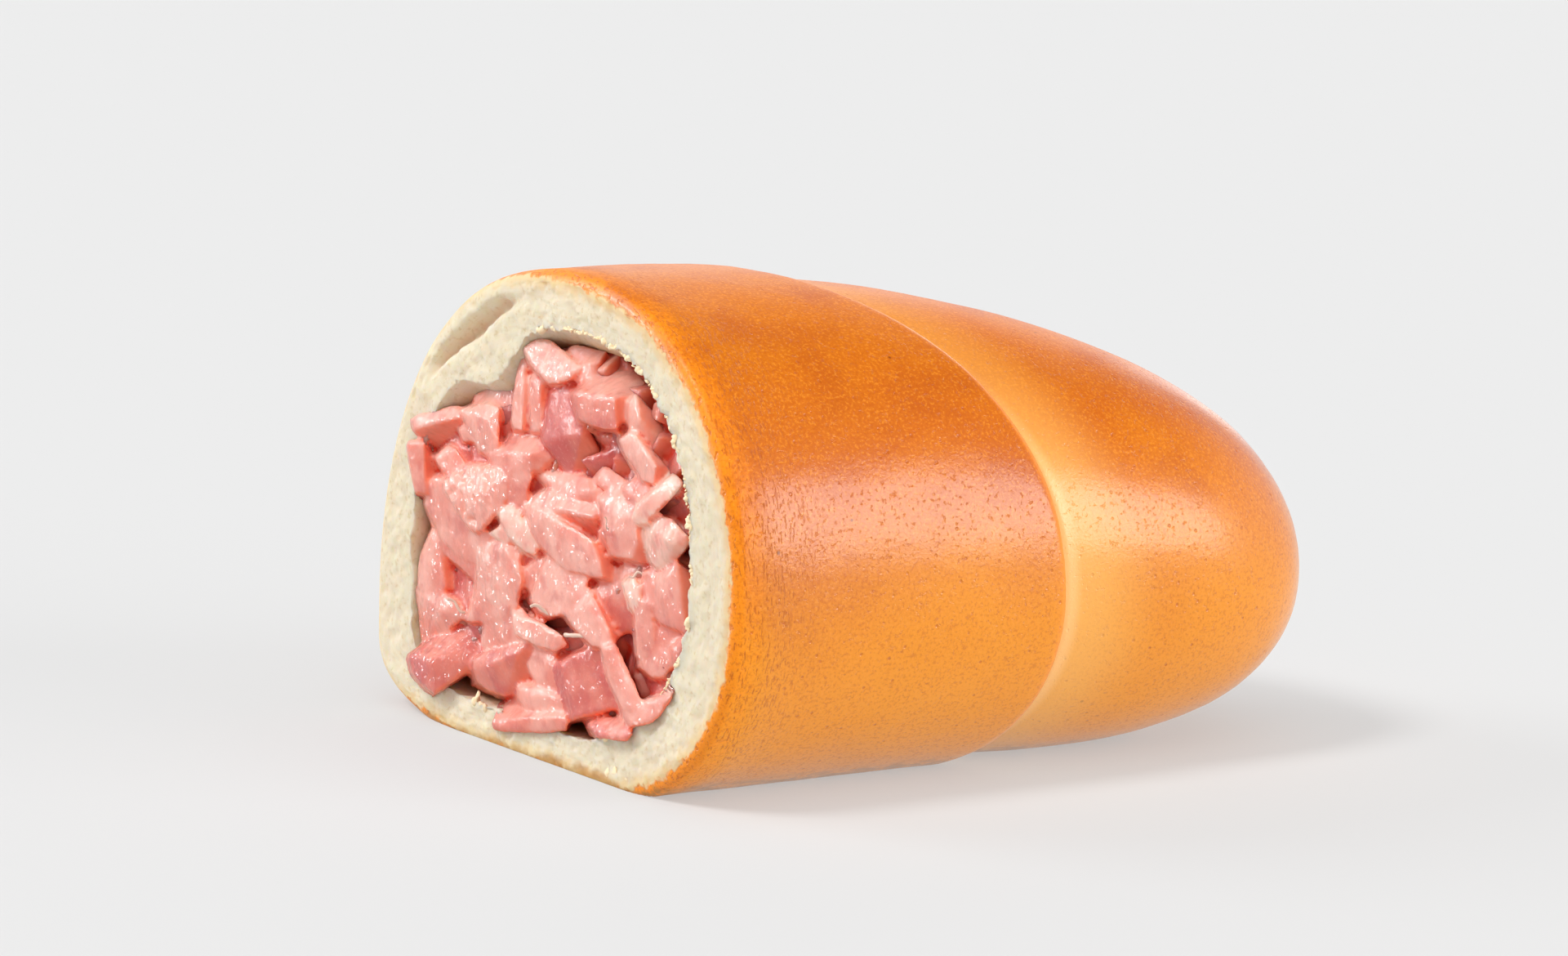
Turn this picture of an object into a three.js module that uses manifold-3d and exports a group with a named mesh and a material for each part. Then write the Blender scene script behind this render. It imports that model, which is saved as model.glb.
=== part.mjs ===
// Half of a soft milk-bread roll, cut across the middle and filled with diced cooked ham.
// Millimetres, +Z up. The cut looks towards -X, the tip towards +X and the near side towards -Y.
import * as THREE from 'three';
import { mergeVertices } from 'three/addons/utils/BufferGeometryUtils.js';
import Module from 'manifold-3d';

const wasm = await Module();
wasm.setup();

// The roll's outside, measured at the cut from the roll's axis.
const ROLL_LENGTH = 80;
const ROLL_HEIGHT = 54;
const NEAR_WIDTH = 33;
const FAR_WIDTH = 43;
const TIP_HEIGHT = 16.5;
const TIP_BEND = -17;
const BASE_SINK = 2;
const RIM_ROUND = 1.4;

// How the width, the top and the base close from the cut to the tip. The higher the power,
// the longer they stay full, and the higher the root, the blunter the tip.
const WIDTH_TAPER = { power: 2.8, root: 2.5 };
const TOP_TAPER = { power: 2.1, root: 2.55 };
const BASE_TAPER = { power: 6, root: 1.9 };

// Where a section is widest, as a share of its height, on its near and its far side.
const OUTSIDE_MIDDLES = { near: 0.47, far: 0.18 };
const HOLLOW_MIDDLES = { near: 0.45, far: 0.28 };
const TIP_MIDDLE = 0.5;

// The wrapped layer ends in a seam that stands proud of the tip's side. The seam runs round
// the roll at SEAM_X from the cut, and swings to both sides of that.
const SEAM_X = 28.5;
const SEAM_SWING = 13;
const SEAM_TURN = 22;
const SEAM_WAVE = 1.5;
const WRAP_LIFT = 0.5;
const SEAM_DROP = 1.0;
const SEAM_WIDTH = 1.2;
const SEAM_FADE = 12;

// The hollow that the filling takes up, and the inner fold that hangs into it.
const HOLLOW_LENGTH = 60;
const HOLLOW_NEAR = 24.4;
const HOLLOW_FAR = 35;
const HOLLOW_TOP = 48.3;
const HOLLOW_BASE = 3.8;
const FOLD_DROP = 4.8;
const FOLD_Y = 16.5;
const FOLD_WIDTH = 6.5;
const FOLD_REACH = 30;

// The pocket between the outer and the inner layer of dough, in the cut face. Its start, its
// end and its fades are angles round the cut, and its sides are shares of the dough's width.
const POCKET_DEPTH = 3;
const POCKET_START = 98;
const POCKET_END = 142;
const POCKET_OPENING = 18;
const POCKET_CLOSING = 12;
const POCKET_SIDES = [0.15, 0.4];

// The filling: a core with the pieces that show fused on.
const CORE_Y = 3;
const CORE_Z = 22;
const CORE_FRONT = 4.5;
const CORE_END = 58;
const CORE_END_ROUND = 2;
const CORE_INSET = 1.5;
const CORE_TOP_GAP = 3.5;
const CLEARANCE = 0.35;
const SEED = 20417;

// Pieces behind the ones that show. Widths and heights are shares of a piece's size.
const FILLER_COUNT = 46;
const FILLER_LARGEST = 8;
const FILLER_SMALLEST = 4.5;
const FILLER_REACH = 0.88;
const FILLER_WIDTHS = { least: 0.85, spread: 0.3 };
const FILLER_HEIGHTS = { least: 0.5, spread: 0.3 };
const FILLER_DEPTHS = { least: 2, spread: 1.6 };
const FILLER_TILT = 20;
const FILLER_THICKNESS = 5;
const SUNFLOWER_TURN = 137.5;

// How unevenly a piece is hewn: what its corners lose, where its fifth corner lies
// and how much smaller its back is.
const CORNER_LOSS = 0.22;
const RIDGE_SPREAD = 0.6;
const RIDGE_RISE = 1.1;
const BACK_SIZE = 0.86;

// The cut is seen from its near side and a little above: the yaw of that line of sight
// off the cut, and how far it falls for each millimetre behind the cut.
const SIGHT_YAW = 31;
const SIGHT_FALL = 0.34;

// Mesh fineness, and where the rings of points lie: on the rim as angles, across the cut face
// as shares from the crust to the hollow, and along the hollow and the core in millimetres.
const ROLL_SIDES = 56;
const TIP_RINGS = 11;
const TIP_CROWDING = 1.9;
const WRAP_RINGS = 5;
const RIM_TURNS = [35, 90];
const FACE_RINGS = [0.12, 0.2, 0.32, 0.42, 0.8];
const HOLLOW_RINGS = [0, 3, 9, 18, 30, 42, 51, 57, 59.4];
const CORE_SIDES = 28;
const CORE_FACE_RINGS = [0.5, 0.93];
const CORE_RINGS = [6, 16, 28, 40, 50];

// How square the near top, near base, far top and far base quarters of a section are.
const OUTSIDE_POWERS = [2.1, 2.2, 2.25, 2.5];
const HOLLOW_POWERS = [2.5, 1.85, 2.2, 5];

const degrees = Math.PI / 180;

// A share that falls from 1 at the cut to 0 at the end.
const taper = (t, { power, root }) => Math.max(1 - t ** power, 0) ** (1 / root);
const smooth = THREE.MathUtils.smoothstep;

// One point of a rounded section. Angle 0 is the near side and 90 degrees is the top.
function sectionPoint(angle, { near, far, top, base, nearMiddle, farMiddle, powers }) {
  const c = Math.cos(angle);
  const s = Math.sin(angle);
  const isNear = c > 0;
  const width = isNear ? near : far;
  const middle = base + (top - base) * (isNear ? nearMiddle : farMiddle);
  const half = s > 0 ? top - middle : middle - base;
  const power = 2 / powers[(isNear ? 0 : 2) + (s > 0 ? 0 : 1)];
  const y = -Math.sign(c) * width * Math.abs(c) ** power;
  const z = middle + Math.sign(s) * half * Math.abs(s) ** power;
  return [y, z];
}

// The roll bends sideways towards its tip, as a crescent does.
const bendAt = (x) => TIP_BEND * (x / ROLL_LENGTH) ** 2;

// A point of the crust, lifted off the plain form by a small distance.
function crustPoint(x, angle, lift) {
  const t = x / ROLL_LENGTH;
  const width = taper(t, WIDTH_TAPER);
  const top = TIP_HEIGHT + (ROLL_HEIGHT - TIP_HEIGHT) * taper(t, TOP_TAPER);
  const base = -BASE_SINK + (TIP_HEIGHT + BASE_SINK) * (1 - taper(t, BASE_TAPER));
  const [y, z] = sectionPoint(angle, {
    near: NEAR_WIDTH * width + lift,
    far: FAR_WIDTH * width + lift,
    top: top + lift,
    base: base - lift,
    nearMiddle: THREE.MathUtils.lerp(OUTSIDE_MIDDLES.near, TIP_MIDDLE, t * t),
    farMiddle: THREE.MathUtils.lerp(OUTSIDE_MIDDLES.far, TIP_MIDDLE, t * t),
    powers: OUTSIDE_POWERS,
  });
  return new THREE.Vector3(x, y + bendAt(x), Math.max(z, 0));
}

// Distance of the seam from the cut, all round the roll.
function seamX(angle) {
  const swing = SEAM_SWING * Math.cos(angle + SEAM_TURN * degrees);
  return SEAM_X + swing + SEAM_WAVE * Math.sin(2 * angle);
}

// A point of the hollow's wall, kept a small distance off it when inset is more than 0.
function hollowPoint(x, angle, inset, topGap = 0) {
  const t = Math.min(x / HOLLOW_LENGTH, 1);
  const width = taper(t, WIDTH_TAPER);
  const top = TIP_HEIGHT + (HOLLOW_TOP - topGap - TIP_HEIGHT) * taper(t, TOP_TAPER);
  const base = HOLLOW_BASE + (TIP_HEIGHT - HOLLOW_BASE) * (1 - taper(t, BASE_TAPER));
  let [y, z] = sectionPoint(angle, {
    near: Math.max(HOLLOW_NEAR * width - inset, 0),
    far: Math.max(HOLLOW_FAR * width - inset, 0),
    top: Math.max(top - inset, TIP_HEIGHT),
    base: Math.min(base + inset, TIP_HEIGHT),
    nearMiddle: HOLLOW_MIDDLES.near,
    farMiddle: HOLLOW_MIDDLES.far,
    powers: HOLLOW_POWERS,
  });
  if (Math.sin(angle) > 0) {
    const across = Math.exp(-(((y - FOLD_Y) / FOLD_WIDTH) ** 2));
    z -= FOLD_DROP * across * (1 - smooth(x, 0, FOLD_REACH));
  }
  return new THREE.Vector3(x, y + bendAt(x), z);
}

// A closed surface through rings of points. It starts and ends at a single point,
// and each ring between them is a function of the angle.
function closedRings(rings, sides) {
  const last = rings.length - 1;
  const profile = rings.map((ring, i) => new THREE.Vector2(i === 0 || i === last ? 0 : 1, i));
  const geometry = new THREE.LatheGeometry(profile, sides);
  const place = geometry.attributes.position;
  for (let side = 0; side <= sides; side += 1) {
    const angle = (side % sides) / sides * 2 * Math.PI;
    rings.forEach((ring, i) => {
      const point = ring(angle);
      place.setXYZ(side * rings.length + i, point.x, point.y, point.z);
    });
  }
  return geometry;
}

// Merges the shared vertices of a closed mesh, drops the empty faces and turns it outside out.
function toSolid(geometry) {
  const bare = geometry.clone();
  bare.deleteAttribute('normal');
  bare.deleteAttribute('uv');
  const merged = mergeVertices(bare, 1e-5);
  const place = merged.attributes.position.array;
  const index = merged.index.array;
  const faces = [];
  let volume = 0;
  const [a, b, c] = [new THREE.Vector3(), new THREE.Vector3(), new THREE.Vector3()];
  for (let i = 0; i < index.length; i += 3) {
    const [p, q, r] = [index[i], index[i + 1], index[i + 2]];
    if (p === q || q === r || r === p) continue;
    faces.push(p, q, r);
    a.fromArray(place, 3 * p);
    b.fromArray(place, 3 * q);
    c.fromArray(place, 3 * r);
    volume += a.dot(b.cross(c));
  }
  if (volume < 0) faces.reverse();
  return new wasm.Manifold(new wasm.Mesh({
    numProp: 3,
    vertProperties: new Float32Array(place),
    triVerts: new Uint32Array(faces),
  }));
}

function toGeometry(solid) {
  const mesh = solid.getMesh();
  const geometry = new THREE.BufferGeometry();
  geometry.setAttribute('position', new THREE.BufferAttribute(mesh.vertProperties, 3));
  geometry.setIndex(new THREE.BufferAttribute(mesh.triVerts, 1));
  return geometry;
}

// The dough: crust outside, cut face with its pocket, and the wall of the hollow.
// grow makes it fatter all over, for cutting the filling clear of it.
function doughRings(grow) {
  const rings = [() => new THREE.Vector3(ROLL_LENGTH + grow, TIP_BEND, TIP_HEIGHT)];
  for (let i = 1; i <= TIP_RINGS; i += 1) {
    const share = (i / TIP_RINGS) ** TIP_CROWDING;
    rings.push((angle) => {
      const foot = seamX(angle) + SEAM_WIDTH;
      const x = ROLL_LENGTH - (ROLL_LENGTH - foot) * share;
      return crustPoint(x, angle, grow - SEAM_DROP * Math.exp((foot - x) / SEAM_FADE) * share);
    });
  }
  for (let i = 0; i <= WRAP_RINGS; i += 1) {
    const share = i / WRAP_RINGS;
    rings.push((angle) => {
      const x = THREE.MathUtils.lerp(seamX(angle), 2 * RIM_ROUND, share);
      return crustPoint(x, angle, WRAP_LIFT + grow);
    });
  }
  for (const turn of RIM_TURNS) {
    rings.push((angle) => {
      const back = RIM_ROUND * (1 - Math.sin(turn * degrees));
      const inward = RIM_ROUND * (1 - Math.cos(turn * degrees));
      const point = crustPoint(back, angle, WRAP_LIFT + grow - inward);
      point.x -= grow;
      return point;
    });
  }
  for (const share of FACE_RINGS) {
    rings.push((angle) => {
      const outer = crustPoint(0, angle, WRAP_LIFT + grow - RIM_ROUND);
      const point = outer.lerp(hollowPoint(0, angle, grow), share);
      const inPocket = share > POCKET_SIDES[0] && share < POCKET_SIDES[1];
      point.x = (inPocket ? pocketDepth(angle) : 0) - grow;
      return point;
    });
  }
  for (const x of HOLLOW_RINGS) {
    rings.push((angle) => {
      const point = hollowPoint(x, angle, grow);
      if (x === 0) point.x -= grow;
      return point;
    });
  }
  rings.push(() => new THREE.Vector3(HOLLOW_LENGTH, bendAt(HOLLOW_LENGTH), TIP_HEIGHT));
  return rings;
}

// How far the pocket between the layers goes in, round the far top quarter of the cut.
function pocketDepth(angle) {
  const turn = angle / degrees;
  const opens = smooth(turn, POCKET_START, POCKET_START + POCKET_OPENING);
  const closes = 1 - smooth(turn, POCKET_END - POCKET_CLOSING, POCKET_END);
  return POCKET_DEPTH * opens * closes;
}

// The filling's core, a little smaller than the hollow.
function coreRings() {
  const inner = (x, angle, share) => {
    const rim = hollowPoint(x, angle, CORE_INSET, CORE_TOP_GAP);
    const centre = new THREE.Vector3(x, bendAt(x) + CORE_Y, CORE_Z);
    return centre.lerp(rim, share);
  };
  const rings = [() => new THREE.Vector3(CORE_FRONT, CORE_Y, CORE_Z)];
  for (const share of CORE_FACE_RINGS) {
    rings.push((angle) => inner(CORE_FRONT, angle, share));
  }
  for (const x of CORE_RINGS) rings.push((angle) => inner(x, angle, 1));
  const end = CORE_END - CORE_END_ROUND;
  rings.push((angle) => hollowPoint(end, angle, CORE_INSET, CORE_TOP_GAP));
  rings.push(() => new THREE.Vector3(CORE_END, bendAt(CORE_END), TIP_HEIGHT));
  return rings;
}

// The same numbers between 0 and 1 each time.
function makeDraw(seed) {
  let state = seed;
  return () => {
    state = (state * 16807) % 2147483647;
    return state / 2147483647;
  };
}

// The ham pieces that make the look of the cut, largest first where they overlap:
// y, z of the middle, width, height, turn in the cut plane, depth of the front behind the cut,
// yaw, pitch and thickness. Turns are in degrees and run anticlockwise as the cut is seen.
// y and z are where the line of sight to the piece crosses the cut.
const SHOWN_PIECES = [
  [23, 26.8, 12.5, 8.4, -8, -1.2, 14, -8, 6],
  [14.5, 18.2, 11.5, 9.5, -14, -0.4, 6, 0, 7],
  [28.2, 8.2, 13.5, 7.2, 17, -1.6, 16, -22, 6],
  [-2.2, 23.6, 20, 4.2, -16, 0, 0, -14, 4],
  [1.6, 28, 12.5, 4.6, -9, 0.4, 0, 0, 5],
  [10.4, 33.4, 12.5, 4.6, 2, 0.2, 8, -18, 5],
  [2.6, 19, 11, 6.2, -6, 0.4, 6, 0, 4],
  [-5.4, 40.9, 9.6, 4.6, -7, -0.6, -6, -28, 8],
  [-2.8, 9.8, 11.2, 6.8, 22, -0.5, -4, 0, 3],
  [1.4, 36.6, 8.6, 8.6, 10, 1.8, 6, 10, 5],
  [28.4, 13.4, 10, 6.6, -4, -0.4, 10, 6, 5],
  [15.4, 8.4, 11, 6.2, 10, -0.5, 8, -8, 5],
  [9.4, 3.9, 16, 3.4, 2, -1.0, 0, -16, 4],
  [31, 18.6, 5, 8, 24, -0.4, 20, 0, 4],
  [27, 17.4, 4.4, 8.5, -30, 0.4, 20, 0, 4],
  [9.4, 29.4, 8, 5.2, -12, 0.4, -15, 0, 5],
  [-9.6, 27.8, 8.2, 7.4, -4, 0.3, 10, 0, 2.5],
  [-18.8, 27.6, 9, 6, -6, -0.2, 8, 0, 6],
  [28.8, 34.2, 11.4, 3.6, 17, -1.2, 0, -35, 4],
  [19.4, 35.2, 9, 4, 6, 0.6, 6, -15, 4],
  [5.4, 44.6, 9.6, 3.8, 14, 1.5, 0, -40, 3],
  [-14.6, 37, 10.5, 3.8, -40, 0.4, 16, 0, 4],
  [-15.8, 40.4, 9.5, 3.8, -44, 1.6, 30, 0, 3],
  [-9.8, 11.8, 11, 2.8, -42, -0.2, 0, 0, 3],
  [-17.4, 16.8, 8.6, 5.8, 14, 0, 16, 0, 5],
  [-8.6, 18.8, 8, 6.2, -18, 0.8, 8, 10, 4],
  [-20.2, 23, 6.6, 6.6, 10, 0.6, 28, 0, 4],
  [-17.8, 32.8, 12, 2.6, 34, 0, 0, 0, 2],
  [5.4, 14.6, 11, 2.8, -18, 0.3, 0, 12, 3],
  [6.6, 6.8, 9.6, 2.8, 4, 0.3, 0, -20, 4],
  [-1.2, 31.8, 9, 2.8, -5, 0.8, 0, -20, 4],
  [12.2, 24.6, 7.4, 4, -52, -0.7, 0, 0, 3],
  [10.8, 40.6, 3, 9.4, 4, 0.8, 20, 0, 4],
  [33.2, 28.6, 3.6, 6.4, -5, -0.8, 10, 0, 4],
  [7.4, 39.2, 3.2, 6.4, -3, 1, 10, 0, 4],
  [6.4, 10.4, 7, 5.2, -8, 0.8, 8, 0, 4],
  [-15.4, 8.9, 8.5, 2.8, 18, 0, 0, -10, 3],
  [-3.4, 44.8, 7.5, 2.6, -10, 2.2, 10, -25, 3],
  [-8, 6.4, 8, 2.4, 9, 0.6, 0, -12, 3],
  [15.2, 39, 4.4, 5, 14, 1.2, 8, 0, 3],
  [-13.4, 22.4, 4.8, 5.8, 4, 0.4, 12, 0, 4],
  [18.8, 38, 5.6, 2.4, 22, 1.6, 0, -20, 3],
  [-7, 33.2, 6, 2.6, -28, 1, 0, -10, 3],
  [-12.2, 32.6, 5.2, 3, -8, 0.6, 0, 0, 3],
  [27.4, 30.6, 3.8, 3.6, 24, -0.4, 10, 0, 3],
  [23.4, 31.8, 3.4, 3, -12, 0, 10, 0, 3],
  [-21.8, 17, 3.2, 5, 8, -0.1, 0, 0, 4],
];

// Further pieces behind those: their places follow a sunflower pattern over the cut,
// and their sizes fall from the largest to the smallest.
function fillerPieces(draw) {
  const rows = [];
  for (let i = 0; i < FILLER_COUNT; i += 1) {
    const size = THREE.MathUtils.lerp(FILLER_LARGEST, FILLER_SMALLEST, i / FILLER_COUNT);
    const out = FILLER_REACH * Math.sqrt((i + 0.5) / FILLER_COUNT);
    const angle = (i * SUNFLOWER_TURN * degrees) % (2 * Math.PI);
    const rim = hollowPoint(CORE_FRONT, angle, CORE_INSET, CORE_TOP_GAP);
    const y = THREE.MathUtils.lerp(CORE_Y, rim.y, out);
    const z = THREE.MathUtils.lerp(CORE_Z, rim.z, out);
    const wide = size * (FILLER_WIDTHS.least + FILLER_WIDTHS.spread * draw());
    const high = size * (FILLER_HEIGHTS.least + FILLER_HEIGHTS.spread * draw());
    const turn = 180 * draw();
    const depth = FILLER_DEPTHS.least + FILLER_DEPTHS.spread * draw();
    const yaw = 2 * FILLER_TILT * draw() - FILLER_TILT;
    const pitch = 2 * FILLER_TILT * draw() - FILLER_TILT;
    rows.push([y, z, wide, high, turn, depth, yaw, pitch, FILLER_THICKNESS]);
  }
  return rows;
}

// One hewn piece of ham: an uneven five-cornered outline, a little smaller at its back.
function hamPiece([y, z, wide, high, turn, depth, yaw, pitch, thick], draw) {
  const uneven = (size) => size * (1 - CORNER_LOSS * draw());
  const corners = [
    new THREE.Vector2(-uneven(wide / 2), -uneven(high / 2)),
    new THREE.Vector2(uneven(wide / 2), -uneven(high / 2)),
    new THREE.Vector2(uneven(wide / 2), uneven(high / 2)),
    new THREE.Vector2((draw() - 0.5) * wide * RIDGE_SPREAD, uneven(high / 2) * RIDGE_RISE),
    new THREE.Vector2(-uneven(wide / 2), uneven(high / 2)),
  ];
  const outline = new THREE.Shape(corners);
  const geometry = new THREE.ExtrudeGeometry(outline, { depth: thick, bevelEnabled: false });
  const vertices = geometry.attributes.position;
  for (let i = 0; i < vertices.count; i += 1) {
    const back = vertices.getZ(i) < thick / 2 ? BACK_SIZE : 1;
    vertices.setXY(i, vertices.getX(i) * back, vertices.getY(i) * back);
  }
  geometry.translate(0, 0, -thick);
  const facing = new THREE.Matrix4().makeBasis(
    new THREE.Vector3(0, -1, 0),
    new THREE.Vector3(0, 0, 1),
    new THREE.Vector3(-1, 0, 0),
  );
  const tilt = new THREE.Euler(-pitch * degrees, yaw * degrees, turn * degrees, 'YXZ');
  geometry.applyMatrix4(new THREE.Matrix4().makeRotationFromEuler(tilt));
  geometry.applyMatrix4(facing);
  geometry.translate(depth, y + depth / Math.tan(SIGHT_YAW * degrees), z - depth * SIGHT_FALL);
  return toSolid(geometry);
}

// The whole filling in one body, cut clear of the dough, without loose scraps.
function hamFilling() {
  const draw = makeDraw(SEED);
  let filling = toSolid(closedRings(coreRings(), CORE_SIDES));
  for (const row of SHOWN_PIECES) filling = filling.add(hamPiece(row, draw));
  for (const row of fillerPieces(draw)) filling = filling.add(hamPiece(row, draw));
  filling = filling.subtract(toSolid(closedRings(doughRings(CLEARANCE), ROLL_SIDES)));
  const bodies = filling.decompose();
  bodies.sort((a, b) => b.volume() - a.volume());
  return bodies[0];
}

function namedMesh(name, solid, color, roughness) {
  const material = new THREE.MeshStandardMaterial({ color, roughness, metalness: 0 });
  const mesh = new THREE.Mesh(toGeometry(solid), material);
  mesh.name = name;
  return mesh;
}

const roll = new THREE.Group();
roll.add(namedMesh('bread_roll', toSolid(closedRings(doughRings(0), ROLL_SIDES)), 0xe98a2e, 0.4));
roll.add(namedMesh('ham_filling', hamFilling(), 0xe9958a, 0.45));

// The origin is in the middle of the base.
const box = new THREE.Box3().setFromObject(roll);
const middle = box.getCenter(new THREE.Vector3());
roll.position.set(-middle.x, -middle.y, -box.min.z);

export default roll;
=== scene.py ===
"""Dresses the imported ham-filled roll: half of a soft milk-bread roll, cut across the middle.

Sizes are millimetres in the roll's own frame (the cut at x = 0, the tip at x = 80) and become
metres in the part's frame when a mesh is made.
"""

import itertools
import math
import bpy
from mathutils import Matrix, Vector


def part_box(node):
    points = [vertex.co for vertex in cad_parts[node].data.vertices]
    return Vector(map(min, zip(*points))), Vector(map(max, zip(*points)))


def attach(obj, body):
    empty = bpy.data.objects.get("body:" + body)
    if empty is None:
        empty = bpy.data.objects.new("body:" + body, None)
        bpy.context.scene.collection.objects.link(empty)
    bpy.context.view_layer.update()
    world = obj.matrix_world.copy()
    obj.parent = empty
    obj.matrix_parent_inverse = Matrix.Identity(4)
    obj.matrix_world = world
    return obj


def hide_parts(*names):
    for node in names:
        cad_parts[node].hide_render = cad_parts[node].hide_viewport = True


bl_info = {
    "name": "Ham-filled roll",
    "version": (1, 0, 0),
    "blender": (4, 5, 0),
    "location": "3D View > Sidebar > Ham roll",
    "description": "Makes a cut milk-bread roll with its filling of diced cooked ham",
    "category": "Add Mesh",
}

from types import SimpleNamespace

import bmesh
import bpy
import numpy as np
from bpy.props import FloatProperty, FloatVectorProperty, IntProperty, PointerProperty
from mathutils import Euler, Matrix, Vector, noise
from mathutils.bvhtree import BVHTree

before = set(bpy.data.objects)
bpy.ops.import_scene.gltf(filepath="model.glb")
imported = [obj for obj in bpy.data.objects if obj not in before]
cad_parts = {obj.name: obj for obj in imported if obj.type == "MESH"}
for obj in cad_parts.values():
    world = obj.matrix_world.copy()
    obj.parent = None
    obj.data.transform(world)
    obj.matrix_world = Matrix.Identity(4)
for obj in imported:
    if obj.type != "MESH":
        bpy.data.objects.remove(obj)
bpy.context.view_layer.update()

MM = 0.001
FULL_TURN = 2.0 * math.pi

# The roll's outside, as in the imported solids.
ROLL_LENGTH = 80.0
ROLL_HEIGHT = 54.0
NEAR_WIDTH = 33.0
FAR_WIDTH = 43.0
TIP_HEIGHT = 16.5
TIP_BEND = -17.0
BASE_SINK = 2.0
RIM_ROUND = 1.4
# The last full section before the cut's rounded rim.
RIM_X = 2.0 * RIM_ROUND
OUTSIDE_POWERS = (2.1, 2.2, 2.25, 2.5)

# How the roll and its hollow taper towards the tip: a power and a root.
WIDTH_TAPER = (2.8, 2.5)
TOP_TAPER = (2.1, 2.55)
BASE_TAPER = (6.0, 1.9)

# How far up a section is widest, on the near and the far side, as shares of its height.
OUTSIDE_MIDDLES = (0.47, 0.18)
HOLLOW_MIDDLES = (0.45, 0.28)
TIP_MIDDLE = 0.5

# The wrapped layer and the seam where it ends, whose distance from the cut swings round the roll.
SEAM_X = 28.5
SEAM_SWING = 13.0
SEAM_TURN = math.radians(22.0)
SEAM_WAVE = 1.5
WRAP_LIFT = 0.5
SEAM_DROP = 1.0
SEAM_WIDTH = 1.2
SEAM_FADE = 12.0
# (distance past the lip, height over the plain form) across the seam.
SEAM_PROFILE = (
    (1.2, -1.0),
    (0.95, -1.04),
    (0.72, -1.12),
    (0.5, -1.22),
    (0.32, -1.26),
    (0.16, -1.16),
    (0.05, -0.86),
    (-0.03, -0.45),
    (-0.12, -0.08),
    (-0.3, 0.17),
    (-0.55, 0.33),
    (-0.95, 0.44),
    (-1.5, 0.49),
    (-2.2, 0.5),
)

# The hollow and the inner fold of dough that hangs into it.
HOLLOW_LENGTH = 60.0
HOLLOW_NEAR = 24.4
HOLLOW_FAR = 35.0
HOLLOW_TOP = 48.3
HOLLOW_BASE = 3.8
HOLLOW_POWERS = (2.5, 1.85, 2.2, 5.0)
FOLD_DROP = 4.8
FOLD_Y = 16.5
FOLD_WIDTH = 6.5
FOLD_REACH = 30.0

# The pocket between the layers: in degrees round the cut, and in shares of the way from the
# rim to the hollow. The dough is soft, so it shows less deep than the pocket is in the solid.
POCKET_DEPTH = 3.0
POCKET_SHOWN = 0.55
POCKET_TURNS = (98.0, 116.0, 130.0, 142.0)
POCKET_SIDES = (0.08, 0.26, 0.28, 0.46)
# The pocket's crumb takes the hollow wall's moist colour and painted shade as if it lay this much
# further in.
POCKET_MOIST_SHADE = 1.3

# How far the hollow's roof comes down behind its torn lip, round the cut and into the roll.
LIP_SLOPE = 2.4
LIP_TURNS = (50.0, 75.0, 140.0, 165.0)
LIP_REACH = (0.0, 3.5, 20.0, 45.0)

# Where the crumb shows as far out as the roll's outline, on the far side.
BARE_CRUMB = 1.7
BARE_TURNS = (84.0, 115.0, 198.0, 236.0)

# Relief over the plain forms. A row is a height, the width of its lumps, octaves and a shift.
CRUST_RELIEF = ((0.35, 26.0, 1, 0.0), (0.1, 8.0, 1, 0.0), (0.02, 1.6, 2, 0.0))
CRUMB_RELIEF = ((0.3, 4.5, 1, 0.0), (0.3, 1.6, 3, 7.0))
WALL_RELIEF = ((0.35, 6.0, 1, 0.0), (0.15, 1.8, 2, 0.0))
TORN_RELIEF = ((1.0, 1.0, 3, 3.0), (0.4, 4.0, 1, 5.0))
MEAT_RELIEF = ((0.12, 2.4, 1, 0.0), (0.04, 0.9, 2, 0.0))
RAGGED_RELIEF = ((0.2, 0.9, 2, 4.0),)
FOLD_RELIEF = ((1.0, 1.7, 2, 8.0),)
CORE_RELIEF = ((0.7, 3.5, 2, 0.0),)
# The crust's relief fades out this far from the rim.
RIM_PLAIN = 3.0

# The torn edge of the hollow: how far it tears at least and at most, and where it tears most.
TEAR_LEAST = 0.2
TEAR_MORE = 0.3
TEAR_TURN = 20.0
TEAR_FADE = (75.0, 110.0)
TEAR_REACH = (-2.0, 0.0, 0.0, 2.0)

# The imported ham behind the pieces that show: how far it runs, its middle, how far it stays
# off the hollow's wall, its rows, and what its material is given.
CORE_FRONT = 3.0
CORE_END = 58.0
CORE_Y = 3.0
CORE_Z = 22.0
CORE_INSET = 0.8
CORE_TOP_GAP = 2.0
CORE_SIDES = 120
CORE_FACE_ROWS = (0.1, 0.2, 0.3, 0.4, 0.5, 0.6, 0.7, 0.8, 0.88, 0.95)
CORE_ROWS = (4.0, 9.0, 12.0, 16.0, 22.0, 28.0, 34.0, 40.0, 45.0, 50.0, 54.0, 56.0)
# The core is given full side and depth, so it is painted all over in the sides' and gaps' shade
# colour.
CORE_SHADE_LOOK = {"tone": -0.8, "fat": 0.0, "wet": 0.3, "side": 1.0, "depth": 8.0}

# The draw of random numbers: its start, what multiplies it, and what it stays below.
SEED = 20417
DRAW_FACTOR = 16807
DRAW_RANGE = 2147483647

# Further pieces of ham between the core and those that show, smallest in front.
FILLER_COUNT = 150
FILLER_LARGEST = 7.5
FILLER_SMALLEST = 2.2
FILLER_REACH = 0.97
FILLER_DEPTH = (1.6, 0.7)
FILLER_UNEVEN_DEPTH = 0.7
FILLER_TILT = 1.2
FILLER_SHAPE = Vector((1.0, 0.9, 0.7))
FILLER_CORNER = 0.4
FILLER_UNEVEN_CORNER = 0.15
FILLER_DEEPEST = -0.8
FILLER_TONES = 0.9
FILLER_WET = 0.5
FILLER_MESH = 1.25
SUNFLOWER_TURN = 137.5

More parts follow.
